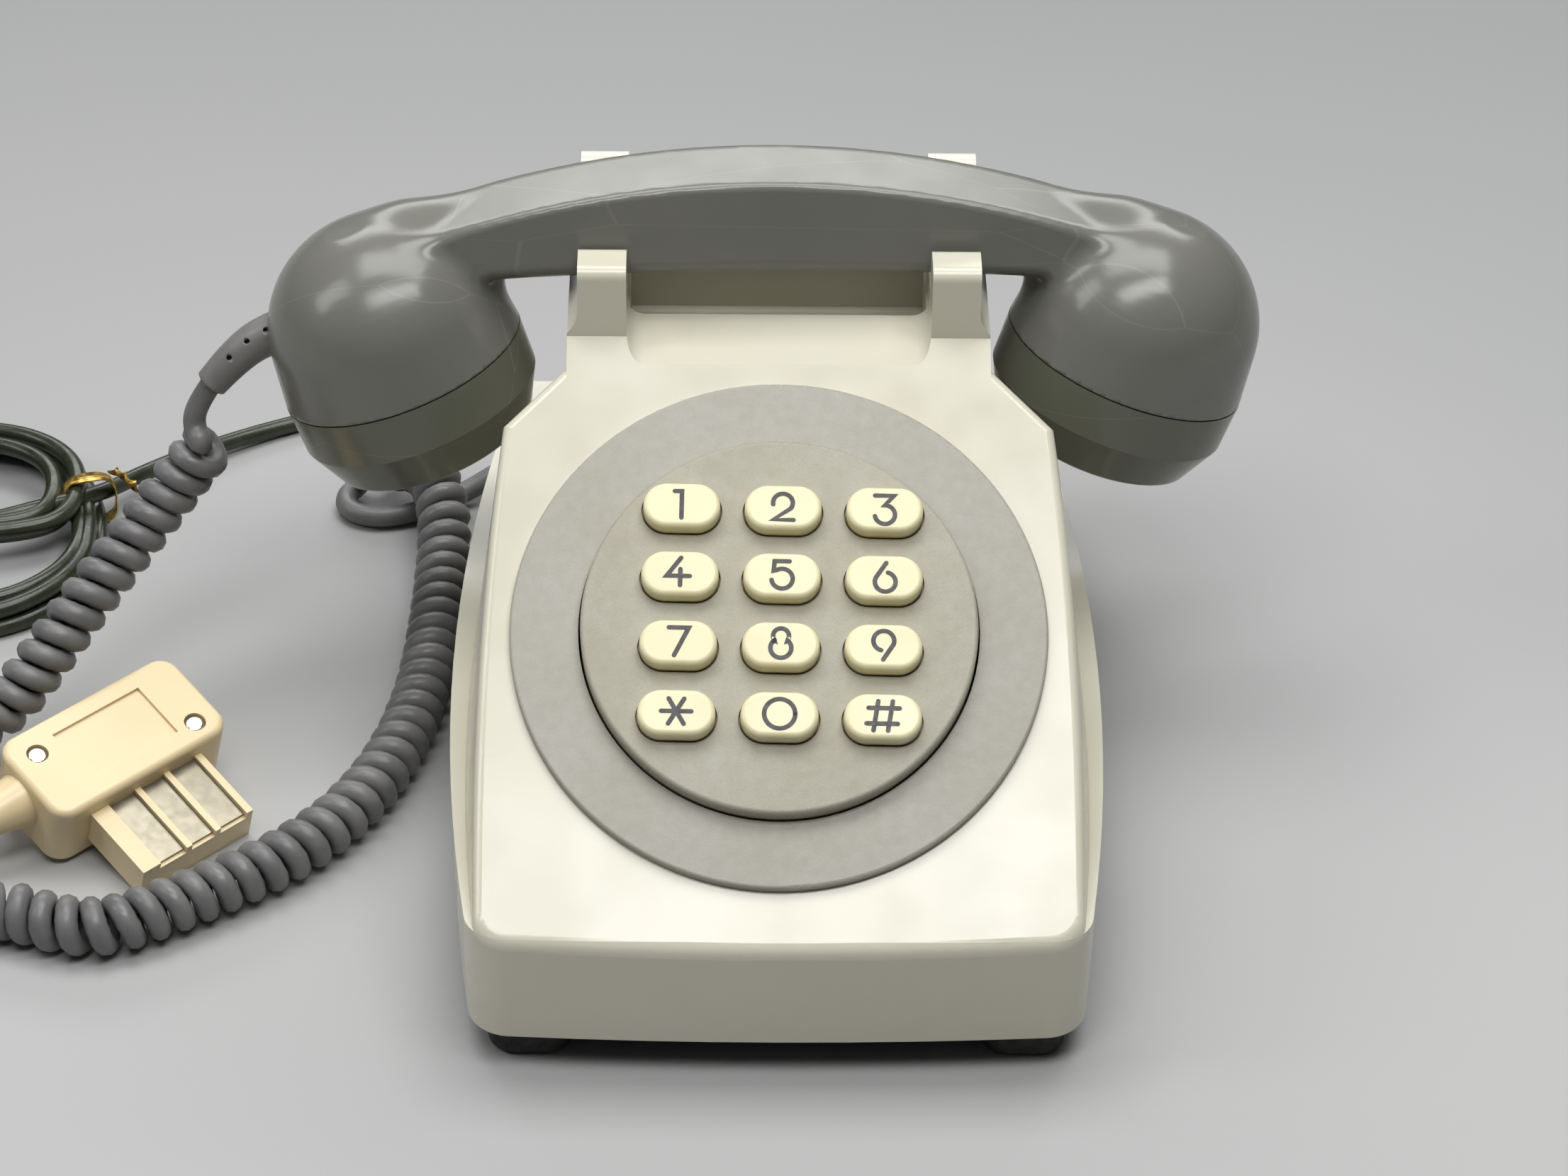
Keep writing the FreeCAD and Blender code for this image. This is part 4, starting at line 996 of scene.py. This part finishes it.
# how the material is made, its name, sRGB shades, roughness and CAD nodes
CAD_LOOKS = (
    (glossy_plastic, "casing_abs", ((208, 205, 188), (188, 181, 152)), GLOSSY, ("casing",)),
    (textured_plastic, "ring_grain", ((166, 164, 154), (150, 144, 128)), GRAINED, ("dial_ring",)),
    (textured_plastic, "faceplate_grain", ((168, 166, 152), (146, 137, 114)), GRAINED,
     ("keypad_faceplate",)),
    (glossy_plastic, "key_cream", ((230, 224, 184), (196, 164, 106)), (0.3, 0.42), KEY_NODES),
    (textured_plastic, "black_moulding", ((28, 28, 28), (44, 42, 38)), GRAINED, ("base_plate",)),
    (textured_plastic, "foot_rubber", ((22, 22, 22), (52, 48, 42)), (0.6, 0.8), FOOT_NODES),
    (glossy_plastic, "plug_beige", ((232, 212, 170), (186, 156, 104)), (0.28, 0.4),
     ("plug_body", "plug_insert")),
    (metal, "nickel_strip", ((148, 142, 126),), (0.3, 0.4), ("plug_contacts",)),
    (metal, "screw_steel", ((224, 220, 214),), (0.12, 0.25),
     ("plug_screws", "case_screws", "clapper", "terminal_screws", "hook_switch_frame", "board_posts")),
    (cord_sheath, "grommet_grey", BOOT_GREY, SHEATH, ("handset_grommet",)),
    (cord_sheath, "grommet_olive", CORD_OLIVE, SHEATH, ("line_grommet",)),
    (textured_plastic, "inner_moulding", ((60, 60, 60), (80, 78, 74)), GRAINED,
     ("keypad_frame", "microphone_ring", "receiver_ring", "board_parts", "terminal_block")),
    (metal, "bell_metal", ((190, 170, 110),), BRUSHED,
     ("gong_left", "gong_right", "contact_domes", "hook_contacts")),
    (metal, "capsule_can", ((170, 170, 172),), BRUSHED,
     ("capacitor", "microphone_capsule", "receiver_capsule")),
    (textured_plastic, "laminate", ((120, 92, 50), (90, 66, 34)), GRAINED,
     ("keypad_board", "transmission_board")),
    (cord_sheath, "winding", ((140, 62, 34), (90, 40, 24)), SHEATH, ("induction_coil", "ringer_coil")),
    (glossy_plastic, "switch_ivory", ((214, 212, 196), (170, 166, 150)), GLOSSY, ("hook_plungers",)),
)


def repaint(material, nodes):
    for name in nodes:
        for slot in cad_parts[name].material_slots:
            slot.material = material


def cad_materials():
    for make, name, shades, rough, nodes in CAD_LOOKS:
        repaint(make(name, *(linear(*rgb) for rgb in shades), rough), nodes)
    # painted shade: the caps get the handset's grey made darker
    repaint(handset_plastic("cap_abs", CAP_PAINTED_SHADE), ("mouthpiece_cap", "earpiece_cap"))


camera()
studio()
cad_materials()
curly_cord(boot())
line_cord(twist_tie())
handset()
key_signs()
